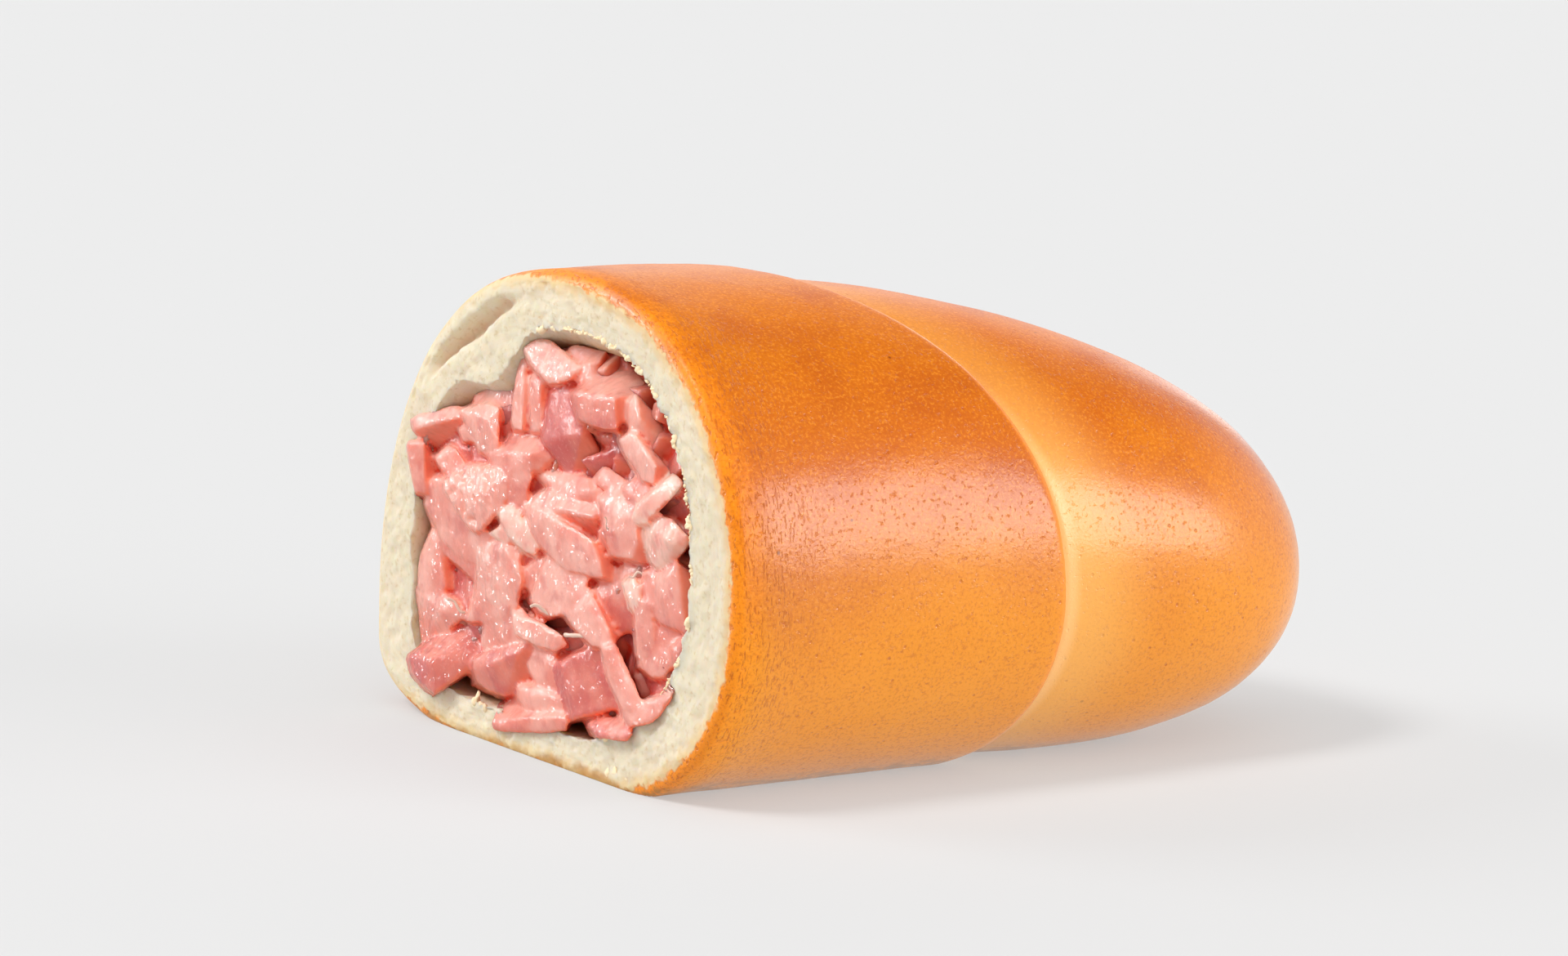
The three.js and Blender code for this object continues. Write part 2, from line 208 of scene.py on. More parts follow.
# How far a point stands out of its neighbours, or lies in, to count as an edge or a crease.
EDGE_BAND = (0.04, 0.25)
CREASE_BAND = (0.04, 0.2)
# Edges of the ham stand out a little where they fray.
FRAYED = 0.05
# The wettest pieces have soft folds, with narrow tops.
FOLD_WETNESS = (0.85, 1.0)
FOLD_HEIGHT = 0.2
FOLD_TOP = 0.5
FOLD_STEEP = 4.0
# Creases close up over some rounds of smoothing, and darken what is beside them.
SMOOTHING_ROUNDS = 2
SMOOTHING = 0.08
CREASE_SMOOTHING = 0.3
CREASE_SPREAD = 0.6
# How much a face to the near side counts as one of the meat's sides, which are painted in shade.
NEAR_SIDE_SHADE = 0.9
# How much paler the ham's top faces are painted, as painted light, and its edges, as painted
# highlight; then how much deeper its creases and shallower its tops count for the painted gap
# shade, in millimetres.
PAINTED_LIGHT_UP = 0.5
PAINTED_HIGHLIGHT_EDGE = 0.15
CREASE_SHADE_DEPTH = 2.6
UP_SHADE_LESS = 2.0

# The least gaps between the dough and the ham: for the pieces that show and for the rest.
SHOWN_GAP = 0.1
FILLER_GAP = 0.3

# Torn tufts along the edge of the hollow, between two turns round the cut.
TUFT_COUNT = 420
TUFT_TURNS = (-75.0, 100.0)
TUFT_DEPTH = 0.15
TUFT_SIZE = 0.19
# How far a tuft strays and how uneven its size is, as rows of relief.
TUFT_STRAY = (0.3, 0.8, 2)
TUFT_UNEVEN = (1.0, 1.5, 1, 6.0)
# The least height of a crumb's middle over the floor.
CRUMB_CLEARANCE = 1.3
# Loose crumbs, and shreds of ham: each a place across and down the view, millimetres behind
# the cut, and a size in millimetres.
LOOSE_CRUMBS = (
    (583, 858, 0.2, 0.35),
    (585, 851, 0.2, 0.3),
    (589, 861, 0.2, 0.4),
    (594, 866, 0.1, 0.35),
    (746, 956, 0.3, 0.4),
    (753, 959, 0.2, 0.5),
    (761, 961, 0.2, 0.5),
    (769, 962, 0.3, 0.4),
)
SHREDS = (
    (705, 778, -1.2, 1.3),
    (742, 641, -0.9, 0.8),
    (664, 744, -1.1, 0.9),
    (778, 702, -0.6, 0.9),
    (560, 740, -0.4, 0.8),
)
# What a geometry nodes tree of little pieces is given, and how uneven its pieces are.
SCATTER_SOCKETS = (
    ("Points", "INPUT", "Geometry"),
    ("Share", "INPUT", "Float"),
    ("Lump size", "INPUT", "Float"),
    ("Lump height", "INPUT", "Float"),
    ("Seed", "INPUT", "Int"),
    ("Pieces", "OUTPUT", "Geometry"),
)
SCATTER_LEAST = 0.5
SCATTER_MOST = 1.8
CRUMB_FORM = {"Share": 0.85, "Lump size": 0.4 * MM, "Lump height": 0.6 * MM}
SHRED_FORM = {"Share": 1.0, "Lump size": 0.5 * MM, "Lump height": 0.2 * MM}
# A shred's bend and its thickness, as shares of its size.
SHRED_BEND = {
    "Start": (-1.0, 0.0, 0.0),
    "Start Handle": (-0.4, 0.7, 0.2),
    "End Handle": (0.3, -0.6, -0.2),
    "End": (1.0, 0.3, 0.1),
}
SHRED_THICKNESS = 0.13

# The camera: its turn and fall from level, its distance from a point over the cut, and its
# lens. VIEW_WIDE and VIEW_HIGH are the view that the places of the ham are given in.
SIGHT_YAW = math.radians(31.0)
SIGHT_TILT = math.radians(10.0)
SIGHT_AIM = (math.radians(-2.197), math.radians(0.398))
SIGHT_TARGET = Vector((0.0, 0.0, 28.0))
SIGHT_DISTANCE = 600.0
LENS = 127.85
SENSOR = 36.0
VIEW_WIDE = 1920
VIEW_HIGH = 1170

# Stands for "nowhere near" in the bread's distances.
AWAY = -50.0

# Mesh fineness: points round the roll, rows along it, and where the hollow's rows are.
ROLL_SIDES = 500
TIP_ROWS = 56
TIP_CROWDING = 1.9
WRAP_ROWS = 46
RIM_ROWS = 8
FACE_ROWS = 36
HOLLOW_STATIONS = (0.15, 0.4, 0.8, 1.3, 2.0, 3.0, 4.2, 5.6, 7.3, 9.5, 12.0, 15.0, 19.0, 24.0)
HOLLOW_STATIONS += (30.0, 36.0, 42.0, 47.0, 51.0, 54.5, 57.0, 58.8, 59.6)
RIM_SAMPLES = 200
RING_SAMPLES = 4000
HAM_MESH = 0.295
# The hollow's radius is kept for so many turns and depths, from a middle well inside it.
WALL_TURNS = 720
WALL_STEPS = 60
WALL_END = HOLLOW_LENGTH - 1.0
WALL_MIDDLE = (3.0, 20.0)

# Grains of the two materials: what each makes, the width of its lumps, detail and roughness.
BREAD_GRAINS = (
    ("browning", 20.0, 2.0, 0.5),
    ("patches", 9.0, 3.0, 0.5),
    # The real stipple is finer than this, and would not show.
    ("stipple", 0.34, 3.0, 0.6),
    ("wrinkles", 0.5, 3.0, 0.6),
    ("ragged_rim", 1.1, 3.0, 0.5),
    ("scorch", 1.6, 3.0, 0.5),
    ("base_edge", 4.0, 3.0, 0.5),
    ("pores", 0.6, 3.0, 0.5),
    ("crumb_grain", 0.5, 4.0, 0.65),
)
HAM_GRAINS = (
    ("mottle", 5.0, 2.0, 0.5),
    ("fleck", 0.5, 3.0, 0.6),
    ("blotch", 2.6, 3.0, 0.5),
    ("marbling", 2.2, 2.0, 0.5),
    ("fine_fibre", 0.3, 2.0, 0.5),
    ("fibre", 1.1, 3.0, 0.5),
    ("film", 1.4, 1.0, 0.5),
    ("gloss", 0.9, 2.0, 0.5),
)

# How far the crust's browning and the base's brown edge wander up and down.
BROWNING_REACH = 22.0
BASE_EDGE_REACH = -3.0
# Spaces between the pits and the specks in the crust, and widths of wrinkles and strands.
PIT_SPACE = 1.9
SPECK_SPACE = 7.0
WRINKLE_WIDTHS = (0.22, 0.9, 0.9)
STRAND_WIDTH = 4.0
# How much the strands change with the distance from the rim.
STRAND_TWIST = 1.6

# Colours that a user may change: name, label, what has the colour, and its default.
FINISHES = (
    # The base's skin colour is partly painted light: paler, against the shade under the roll.
    ("crust_base_painted_light", "Crust at the base", "the skin by the base", "EA940E"),
    ("crust_low", "Lower crust", "the skin on the lower flank", "E28A0A"),
    ("crust_dark", "Browned crust", "the skin where it browned most", "C06006"),
    ("crust_top", "Top crust", "the skin along the top", "C66C08"),
    ("crust_fleck", "Crust flecks", "the pale flecks in the skin", "E8922A"),
    # The browner grain, also used as painted shade in the skin's wrinkles and pits.
    ("crust_brown_and_shade", "Crust grain and wrinkle shade", "the browner grain in the skin", "AC4C08"),
    ("crust_scorched", "Scorched base", "the skin's brown edge at the base", "BC7C2C"),
    ("crust_speck", "Crust specks", "the few dark specks in the skin", "7A3608"),
    ("rim_orange", "Crust by the cut", "the skin's edge, where light comes through", "F48C06"),
    ("seam_pale", "Past the seam", "the skin that the wrap had covered", "EEAE56"),
    ("seam_band", "Seam band", "the palest skin beside the seam", "F6C684"),
    ("seam_cream", "Seam line", "the dough in the seam", "F6D8A8"),
    ("crumb_pale", "Crumb", "the crumb", "FCF3E0"),
    ("crumb_warm", "Warm crumb", "the denser crumb", "F6E0BA"),
    ("crumb_yellow", "Crumb under the skin", "the crumb just under the skin", "F8D49A"),
    # The pores' colour is painted shade in the crumb's holes.
    ("crumb_pore_shade", "Pores", "the crumb's pores", "DDC08C"),
    # Partly the crumb moist from the ham, partly painted shade, deeper into the hollow.
    ("crumb_moist_and_shade", "Moist, shaded crumb", "the hollow's wall behind the cut", "E6B070"),
    ("ham_deep", "Deep ham", "the reddest meat", "B94F4C"),
    ("ham_pink", "Ham", "most of the meat", "D67C6C"),
    ("ham_pale", "Pale ham", "the palest meat", "E3A596"),
    # Painted shade on the meat's sides away from the light, with the light that comes through it.
    ("ham_side_shade", "Ham sides", "the meat's sides, where light comes through", "E07050"),
    # Painted shade deep in the gaps and creases, red with the light that comes through the meat.
    ("ham_gap_shade", "Ham gaps", "the meat deep between the pieces", "C8361E"),
    ("ham_fat", "Ham fat", "the fat in the ham", "DEBEAC"),
)

# Sun lamps: name, compass turn, height over the floor, strength, width, and the kind of
# light that it gives none of.
LAMPS = (
    ("key_light", -60.0, 10.5, 2.35, 40.0, ""),
    ("cut_light", 180.0, 55.0, 1.7, 16.0, ""),
    ("left_light", 130.0, 28.0, 1.15, 30.0, ""),
    ("wet_light", 130.0, 8.0, 1.9, 10.0, "diffuse"),
    ("back_light", 62.0, 14.0, 0.5, 50.0, ""),
    ("fill_light", 236.0, 22.0, 0.4, 60.0, "glossy"),
    ("overhead_light", -100.0, 68.0, 1.5, 70.0, "glossy"),
)
# The studio's greys by height, and how much darker it is on the camera's side.
STUDIO_GREYS = ((0.0, 0.98), (0.3, 0.92), (0.45, 0.62), (0.62, 0.12), (0.8, 0.04))
STUDIO_SIDES = (-0.2, 0.8, 1.0, 0.3)
FLOOR_GLOW = 0.4
FLOOR_GREY = 0.3
FLOOR_REACH = 20.0

# The pieces of ham that show at the cut: tone from -1 (deep pink) to 1 (pale), how fatty and
# how wet each is from 0 to 1, and its corners. A corner is a place across and down the view,
# and millimetres behind the cut. A piece is the hull of its corners, PIECE_DEPTH thick, and
# FLARE times as wide at its back.
# The lowest tones, on pieces in recesses and in the gaps, are partly painted shade.
PIECE_DEPTH = 2.4
FLARE = 1.14
SHOWN_PIECES = (
    # Upper left.
    (0.35, 0, 0.5, ((504, 514, -0.9), (510, 508, -0.8), (529, 506, -0.2), (552, 497, 0.6),
     (563, 498, 0.8), (566, 502, 0.8), (507, 526, -1.1), (535, 518, -0.6), (565, 511, 0.3),
     (512, 531, -0.4), (516, 537, 0.4), (531, 551, 1.8), (540, 552, 2), (549, 543, 2),
     (568, 521, 1.6))),
    (0.5, 0, 0.3, ((498, 546, -0.9), (502, 540, -0.9), (514, 539, -0.6), (519, 542, -0.4),
     (519, 575, -0.4), (521, 604, -0.3), (509, 604, -0.7), (503, 575, -0.9), (531, 550, 1.9),
     (540, 577, 2), (531, 586, 1.2), (530, 597, 1))),
    (0.3, 0, 0.3, ((533, 560, -0.2), (541, 552, 0), (550, 545, 0.2), (558, 549, 0), (571, 567, 0),
     (563, 577, 0), (553, 583, 0), (545, 579, -0.2), (538, 570, -0.2))),
    (-0.4, 0, 0.3, ((560, 528, 1.4), (549, 537, 1.4), (549, 544, 1.4), (558, 548, 1.2),
     (571, 567, 1), (581, 561, 1), (587, 552, 1.2), (582, 546, 1.4), (580, 541, 1.4))),
    (0.6, 0, 0.3, ((562, 526, 0.2), (569, 521, 0.2), (579, 520, 0), (580, 540, 0), (568, 541, 0.2),
     (565, 534, 0.2))),
    (0.45, 0.1, 0.6, ((563, 504, 0), (566, 501, 0.1), (581, 498, 0.2), (600, 492, 0.4),
     (612, 499, 0.3), (597, 514, -0.4), (611, 545, -0.4), (600, 557, -0.2), (587, 553, 0),
     (579, 530, -0.2))),
    (0, 0, 0.4, ((612, 499, 0.9), (618, 504, 1), (629, 526, 1.4), (612, 545, 1.2),
     (599, 516, 1.2))),
    (0.2, 0, 0.4, ((581, 484, 1.4), (586, 483, 1.5), (604, 474, 1.8), (618, 463, 2.2),
     (631, 460, 2.4), (631, 500, 1.6), (618, 498, 1.2), (600, 491, 0.9), (581, 498, 0.9))),
    # Top.
    (0.5, 0, 0.3, ((630, 480, 0.6), (631, 466, 0.7), (636, 443, 0.9), (640, 425, 1.2),
     (643, 424, 1.3), (641, 480, 0.4), (640, 526, 0.2), (630, 526, 0.3), (627, 514, 0.4),
     (648, 444, 1.8), (651, 458, 1.8), (651, 480, 1.6), (649, 527, 1.4))),
    (0.6, 0.15, 0.5, ((640, 426, 0.2), (643, 422, 0.4), (656, 419, 0.8), (661, 415, 1),
     (669, 415, 1.2), (676, 417, 1.4), (692, 433, 1), (711, 449, 0.8), (704, 458, 0.4),
     (698, 465, 0.2), (684, 470, 0), (673, 470, 0), (662, 459, -0.2), (651, 449, 0))),
    (0.4, 0, 0.4, ((648, 463, 0.6), (651, 460, 0.8), (665, 461, 0.9), (661, 480, 0.4),
     (662, 522, 0.3), (656, 530, 0.3), (650, 528, 0.3), (651, 480, 0.5), (674, 472, 1.8),
     (672, 500, 1.6), (667, 528, 1.4))),
    (0.1, 0, 0.4, ((698, 425, 2), (705, 422, 2.2), (723, 428, 2.4), (742, 430, 2.6),
     (733, 446, 1.6), (711, 449, 1.4), (699, 440, 1.6), (695, 433, 1.8), (747, 441, 3.4),
     (741, 452, 3))),
    (0.3, 0, 0.4, ((704, 458, 1), (711, 450, 1.2), (715, 441, 1.4), (722, 441, 1.2),
     (736, 455, 1.8), (725, 463, 1), (719, 469, 0.8), (704, 466, 0.8))),
    (-0.2, 0, 0.3, ((751, 427, 3.6), (755, 428, 3.6), (776, 449, 3.6), (759, 449, 3.2),
     (749, 447, 3.2), (746, 437, 3.4))),
    (0.0, 0, 0.6, ((702, 482, -1), (706, 478, -0.8), (739, 485, -1.1), (752, 489, -1),
     (755, 526, -0.9), (739, 524, -1), (709, 514, -1), (716, 470, 0.8), (744, 450, 3),
     (753, 448, 3.3), (775, 450, 3.8), (784, 463, 3.2), (792, 470, 3.2), (774, 484, 1),
     (767, 488, 0.4), (768, 493, 0.5), (765, 514, 0.5))),
    (-0.55, 0, 0.15, ((675, 481, 0.6), (684, 476, 0.8), (701, 474, 1), (708, 511, 0.5),
     (715, 516, 0.4), (712, 532, 0), (690, 536, -0.2), (666, 541, -0.2), (664, 533, 0),
     (669, 521, 0.2), (671, 500, 0.4), (718, 543, 0.6), (745, 571, 2.6), (731, 580, 2.2),
     (700, 586, 1), (684, 566, 0.4))),
    (-0.5, 0, 0.6, ((728, 523, 3), (749, 526, 3), (761, 533, 3), (758, 540, 3), (749, 546, 3),
     (729, 536, 3))),
    (-0.7, 0, 0.3, ((752, 548, 3.6), (760, 545, 3.4), (774, 564, 3), (781, 575, 3), (778, 588, 3),
     (770, 590, 3.2), (752, 578, 3.8))),
    # Right, by the near wall.
    (0.4, 0.1, 0.4, ((768, 492, 0.2), (774, 486, 0.3), (779, 482, 0.4), (766, 515, 0),
     (772, 526, 0), (779, 530, 0.2), (783, 512, -0.2), (790, 491, 1.6), (802, 507, 2.1),
     (818, 529, 2.6), (831, 559, 2.8), (822, 566, 2.4), (812, 561, 1.8), (789, 540, 0.8))),
    (0.5, 0.1, 0.7, ((758, 540, -0.4), (761, 535, -0.3), (771, 528, -0.1), (778, 531, -0.3),
     (789, 548, -0.4), (803, 572, -0.4), (800, 592, -0.3), (786, 588, -0.3), (781, 575, -0.4),
     (766, 556, -0.4), (788, 540, 1), (811, 564, 1.2), (819, 573, 1.2), (812, 588, 0.8))),
    (-0.4, 0, 0.2, ((786, 471, 3.8), (799, 480, 3.8), (812, 499, 3.4), (818, 515, 3.4),
     (827, 537, 3.4), (835, 553, 3.4), (830, 560, 3.4), (802, 507, 3.4))),
    (-0.4, 0, 0.2, ((826, 556, 2.8), (836, 553, 3), (843, 575, 2.8), (843, 594, 2.6),
     (832, 592, 2.2), (818, 575, 2.2))),
    (0.35, 0, 0.3, ((728, 590, 0.4), (732, 580, 0.4), (740, 572, 0.6), (746, 573, 0.8),
     (752, 579, 0.8), (770, 590, 1), (763, 608, 0.4), (757, 609, 0.2), (749, 604, 0.1),
     (738, 595, 0.2))),
    (0.1, 0, 0.6, ((761, 597, 0), (769, 592, 0.1), (776, 586, 0.2), (784, 588, 0.2), (799, 603, 0),
     (792, 611, -0.2), (781, 615, -0.3), (766, 610, -0.1))),
    (0.8, 0.7, 0.3, ((824, 579, 0.4), (829, 582, 0.3), (837, 593, 0.1), (824, 609, -0.3),
     (808, 622, -0.6), (799, 629, -0.6), (790, 642, -0.6), (781, 642, -0.6), (775, 634, -0.8),
     (780, 619, -0.8), (790, 613, -0.8), (801, 599, -0.6), (812, 589, -0.2))),
    (-0.1, 0, 0.3, ((812, 620, 1.6), (824, 609, 1.4), (837, 597, 1.4), (844, 593, 1.6),
     (845, 612, 1.4), (846, 629, 1.6), (832, 638, 1.8), (819, 631, 1.6))),
    (0, 0, 0.3, ((832, 637, 1.8), (846, 630, 1.8), (851, 649, 1.8), (849, 656, 2),
     (838, 650, 1.8))),
    (0.7, 0.5, 0.7, ((789, 645, 0), (801, 636, 0.1), (812, 632, 0.2), (822, 635, 0.1),
     (829, 641, 0), (841, 655, 0.2), (846, 662, 0.5), (839, 674, 0.3), (831, 682, 0.2),
     (815, 691, 0), (804, 695, 0), (798, 689, 0), (792, 671, 0), (787, 662, 0), (815, 660, -0.7),
     (825, 665, -0.5))),
    (0.4, 0, 0.3, ((733, 617, -0.2), (735, 609, -0.2), (746, 604, 0), (766, 610, 0), (781, 617, 0),
     (777, 634, -0.6), (781, 660, -0.6), (773, 684, -0.5), (751, 681, -0.5), (747, 678, -0.4),
     (739, 644, -0.6), (738, 625, -0.5), (789, 646, 0.6), (793, 676, 0.6), (790, 688, 0.5),
     (784, 687, 0.1))),
    (0, 0, 0.8, ((734, 650, -0.5), (742, 644, -0.6), (750, 652, -0.8), (750, 668, -0.4),
     (744, 672, 0), (734, 662, 0))),
    # Middle.
    (0.35, 0, 0.4, ((651, 577, 0.6), (663, 577, 0.8), (669, 600, 1.2), (677, 592, 1.2),
     (697, 589, 0.8), (704, 585, 0.8), (718, 582, 0.7), (722, 600, -0.1), (718, 612, -0.2),
     (702, 608, -0.2), (686, 605, 0), (729, 591, 1.2), (748, 603, 1.3), (735, 610, 0.6),
     (734, 616, 0.4))),
    (0.45, 0.15, 0.7, ((651, 614, -0.3), (654, 607, -0.2), (661, 602, 0), (670, 601, 0),
     (685, 605, 0), (704, 609, 0), (722, 616, 0.1), (732, 620, 0.2), (655, 625, -0.7),
     (690, 624, -0.9), (728, 634, -0.6), (675, 638, 0.2), (709, 650, 1.2), (728, 660, 1.8),
     (736, 645, 1.8), (737, 627, 1.2))),
    (0.5, 0, 0.6, ((642, 621, -0.6), (652, 618, -0.7), (675, 632, -1.1), (696, 643, -1.1),
     (709, 650, -1), (726, 662, -0.9), (735, 690, -0.8), (738, 708, -0.6), (731, 707, -0.7),
     (722, 704, -0.8), (694, 697, -0.9), (683, 689, -0.9), (673, 678, -0.9), (660, 666, -0.8),
     (650, 646, -0.8), (741, 679, 0.5), (755, 699, 1.2), (752, 709, 0.8))),
    (-0.5, 0, 0.4, ((651, 578, 1.6), (663, 577, 1.8), (677, 593, 1.9), (668, 601, 1.4),
     (660, 603, 1.2), (651, 615, 1), (643, 620, 0.8), (646, 600, 1))),
    (0.25, 0, 0.4, ((611, 545, 0.6), (630, 527, 1.6), (652, 529, 1.6), (666, 533, 1.5),
     (668, 549, 0.6), (650, 555, -0.5), (620, 553, -0.5), (598, 557, -0.4), (605, 576, -0.5),
     (625, 578, -0.6), (650, 578, -0.4), (663, 577, 0.2), (675, 564, 0.7))),
    (0.35, 0, 0.4, ((600, 576, -0.4), (620, 576, -0.6), (650, 578, -0.4), (652, 585, -0.3),
     (648, 600, -0.2), (643, 616, -0.2), (636, 623, -0.2), (625, 618, -0.4), (616, 613, -0.6))),
    (0.7, 0, 1, ((545, 589, -0.8), (553, 582, -0.7), (565, 577, -0.6), (575, 569, -0.4),
     (595, 571, -0.6), (611, 578, -0.7), (620, 586, -0.7), (618, 612, -0.8), (609, 626, -0.9),
     (600, 637, -1), (592, 648, -1), (582, 651, -1), (575, 645, -1.1), (569, 630, -1.2),
     (556, 615, -1.1), (545, 600, -0.9), (585, 605, -1.6))),
    (0.5, 0, 0.4, ((531, 585, 0), (540, 585, 0), (525, 602, 0.2), (520, 616, 0.2), (528, 627, 0.1),
     (534, 643, 0), (541, 660, 0), (560, 680, 0), (585, 690, 0), (589, 680, -0.2),
     (600, 657, -0.4), (595, 645, -0.5), (560, 600, -0.4))),
    (0.3, 0, 0.4, ((538, 655, 0.2), (560, 650, 0), (590, 665, 0), (589, 690, 0), (585, 706, 0.2),
     (580, 709, 0.3), (574, 696, 0.3), (558, 687, 0.3), (544, 678, 0.3), (538, 664, 0.3))),
    (0.4, 0.15, 0.8, ((584, 671, -0.3), (592, 664, -0.2), (611, 657, 0.1), (629, 663, 0.3),
     (637, 671, 0.3), (620, 672, -0.7), (636, 702, -0.7), (640, 712, -0.6), (636, 735, -0.5),
     (620, 758, -0.5), (600, 735, -0.9), (584, 722, -0.4), (589, 690, -0.6))),
    (0.45, 0, 0.5, ((589, 709, -0.6), (610, 715, -0.9), (622, 740, -0.8), (618, 757, -0.6),
     (594, 761, -0.5), (579, 762, -0.4), (572, 759, -0.4), (581, 740, -0.5), (584, 722, -0.5))),
    (0.8, 0.6, 0.5, ((611, 628, -0.8), (618, 622, -0.8), (626, 620, -0.8), (632, 626, -0.7),
     (640, 642, -0.7), (646, 648, -0.6), (651, 658, -0.5), (659, 669, -0.3), (656, 679, -0.4),
     (646, 677, -0.6), (632, 665, -0.9), (622, 656, -1), (614, 638, -1))),
    (0.6, 0.8, 0.5, ((600, 652, -0.6), (612, 645, -0.6), (622, 656, -0.6), (630, 664, -0.5),
     (622, 665, -0.5), (608, 658, -0.6))),
    (0.1, 0, 0.4, ((636, 703, 0), (645, 695, 0.1), (656, 684, 0.2), (669, 683, 0.2), (665, 702, 0),
     (662, 716, 0), (652, 729, 0), (643, 717, 0), (639, 711, 0))),
    (-0.3, 0, 0.3, ((636, 722, 0.8), (645, 716, 0.8), (653, 730, 0.8), (648, 736, 1),
     (638, 732, 1))),
    # Left, by the far wall.
    (0.3, 0, 0.4, ((529, 651, 0.4), (538, 652, 0.4), (537, 665, 0.2), (536, 690, 0.1),
     (545, 720, 0), (538, 727, 0), (511, 718, 0.2), (512, 693, 0.4), (515, 679, 0.4),
     (521, 668, 0.4), (546, 682, 1.3), (553, 702, 1.4), (558, 718, 1.2))),
    (-0.45, 0, 0.4, ((558, 688, 1.6), (573, 694, 1.4), (578, 708, 1.2), (583, 717, 1),
     (582, 731, 0.8), (578, 742, 0.6), (570, 754, 0.6), (555, 745, 0.8), (553, 727, 1),
     (557, 702, 1.6))),
    (0.35, 0, 0.7, ((508, 720, 0.4), (530, 722, 0.2), (545, 727, 0), (560, 735, 0),
     (570, 756, 0.2), (555, 764, 0.4), (545, 775, 0.4), (532, 782, 0.4), (518, 789, 0.4),
     (514, 770, 0.4), (516, 758, 0.4), (511, 740, 0.4), (540, 750, -0.4))),
    (-0.55, 0, 0.8, ((500, 807, -1.6), (502, 801, -1.5), (510, 796, -1.2), (506, 824, -1.8),
     (514, 834, -1.9), (524, 843, -1.9), (533, 849, -1.8), (545, 842, -1.2), (528, 806, -2),
     (519, 789, -0.4), (545, 774, 0.8), (561, 760, 1.8), (594, 761, 2.2), (596, 772, 2),
     (597, 796, 1.4), (580, 811, 0.4), (579, 820, 0.8), (558, 834, 0))),
    # Lower middle.
    (0.5, 0, 0.5, ((594, 761, -0.3), (616, 742, -0.5), (613, 770, -0.4), (608, 793, -0.4),
     (597, 797, -0.2), (592, 789, -0.2), (596, 771, -0.2))),
    (0.45, 0, 0.6, ((616, 742, -0.2), (630, 735, -0.2), (640, 745, -0.1), (650, 757, 0),
     (648, 785, 0), (624, 793, -0.3), (610, 793, -0.2), (617, 770, -0.6))),
    (-0.3, 0, 0.5, ((580, 807, -0.7), (594, 800, -0.7), (624, 792, -0.6), (648, 785, -0.3),
     (654, 796, 0.1), (580, 819, -0.8), (600, 814, -1.1), (632, 800, -0.9), (585, 836, -0.2),
     (601, 846, 0), (620, 851, 0.2), (634, 846, 0.5), (648, 836, 1), (654, 834, 1.2),
     (648, 814, 0.8))),
    (0.6, 0.2, 0.7, ((628, 752, -0.6), (641, 756, -0.7), (652, 757, -0.5), (661, 761, -0.5),
     (674, 769, -0.5), (690, 778, -0.3), (695, 790, 0), (680, 797, -0.4), (657, 791, -0.8),
     (646, 784, -0.9), (632, 777, -0.9), (629, 766, -0.8))),
    (0.25, 0, 0.3, ((654, 797, 0), (657, 791, 0), (671, 794, 0.1), (681, 800, 0.3),
     (675, 821, -0.2), (684, 851, 0), (668, 846, -0.1), (659, 840, -0.1), (654, 830, -0.1),
     (646, 814, 0))),
    (0.45, 0, 0.4, ((634, 840, -0.2), (643, 838, -0.2), (646, 852, -0.5), (686, 853, -0.5),
     (690, 870, -0.3), (680, 871, -0.3), (652, 870, -0.3), (642, 866, -0.2), (635, 856, -0.2),
     (650, 837, 0.8), (668, 846, 0.8), (684, 851, 0.5))),
    (0.15, 0, 0.4, ((603, 885, -0.8), (606, 880, -0.7), (640, 879, -1), (689, 876, -0.8),
     (695, 884, -0.6), (693, 894, -0.6), (670, 897, -0.7), (638, 894, -0.8), (616, 895, -0.8),
     (606, 891, -0.8), (615, 868, 0.6), (631, 855, 1.8), (642, 860, 1.4), (652, 869, 0.8),
     (685, 871, 0.4))),
    (-0.5, 0, 0.35, ((675, 817, 0), (684, 849, 0), (696, 883, 0), (686, 811, -0.8),
     (703, 880, -0.9), (704, 801, -0.6), (724, 792, 0), (737, 791, 0.6), (744, 821, 0.6),
     (754, 850, 0.7), (761, 866, 0.8), (738, 869, 0), (728, 872, -0.2))),
    (0.45, 0, 0.4, ((668, 686, -0.5), (676, 680, -0.5), (694, 698, -0.6), (721, 704, -0.3),
     (717, 722, -0.5), (714, 731, -0.5), (716, 745, -0.7), (700, 749, -0.9), (688, 752, -0.9),
     (675, 755, -0.9), (662, 749, -0.8), (651, 735, -0.6), (651, 730, -0.5), (662, 716, -0.5),
     (665, 702, -0.5))),
    (0.5, 0, 0.5, ((692, 751, -0.9), (716, 745, -1), (715, 732, -0.6), (724, 722, -0.2),
     (729, 735, -0.8), (745, 770, -0.8), (751, 789, -0.6), (737, 791, -0.9), (726, 791, -1),
     (712, 777, -1.1), (704, 769, -1.1), (697, 760, -1), (742, 748, 0.6), (759, 780, 0.6))),
    (0, 0, 0.3, ((736, 712, 0.6), (755, 700, 0.9), (770, 688, 1.2), (785, 693, 1.2),
     (797, 689, 1.3), (806, 697, 1.4), (800, 712, 1.2), (768, 730, 0.6), (772, 745, 0.8),
     (780, 758, 1), (781, 767, 1.2), (762, 778, 1), (745, 750, 0.4), (731, 733, 0.2),
     (724, 724, 0.3))),
    (-0.9, 0, 0.4, ((645, 750, 2.6), (663, 750, 2.6), (685, 757, 2.8), (694, 752, 3),
     (700, 765, 3), (712, 778, 2.4), (690, 776, 2.4), (675, 768, 2.2), (655, 757, 2.4))),
    (-0.8, 0, 0.4, ((683, 790, 1.8), (700, 778, 2), (715, 778, 2.4), (726, 791, 2.4),
     (703, 800, 1.4), (688, 808, 1))),
    (0.9, 0.6, 0.7, ((762, 714, -0.2), (768, 708, -0.1), (776, 705, 0), (783, 716, -0.3),
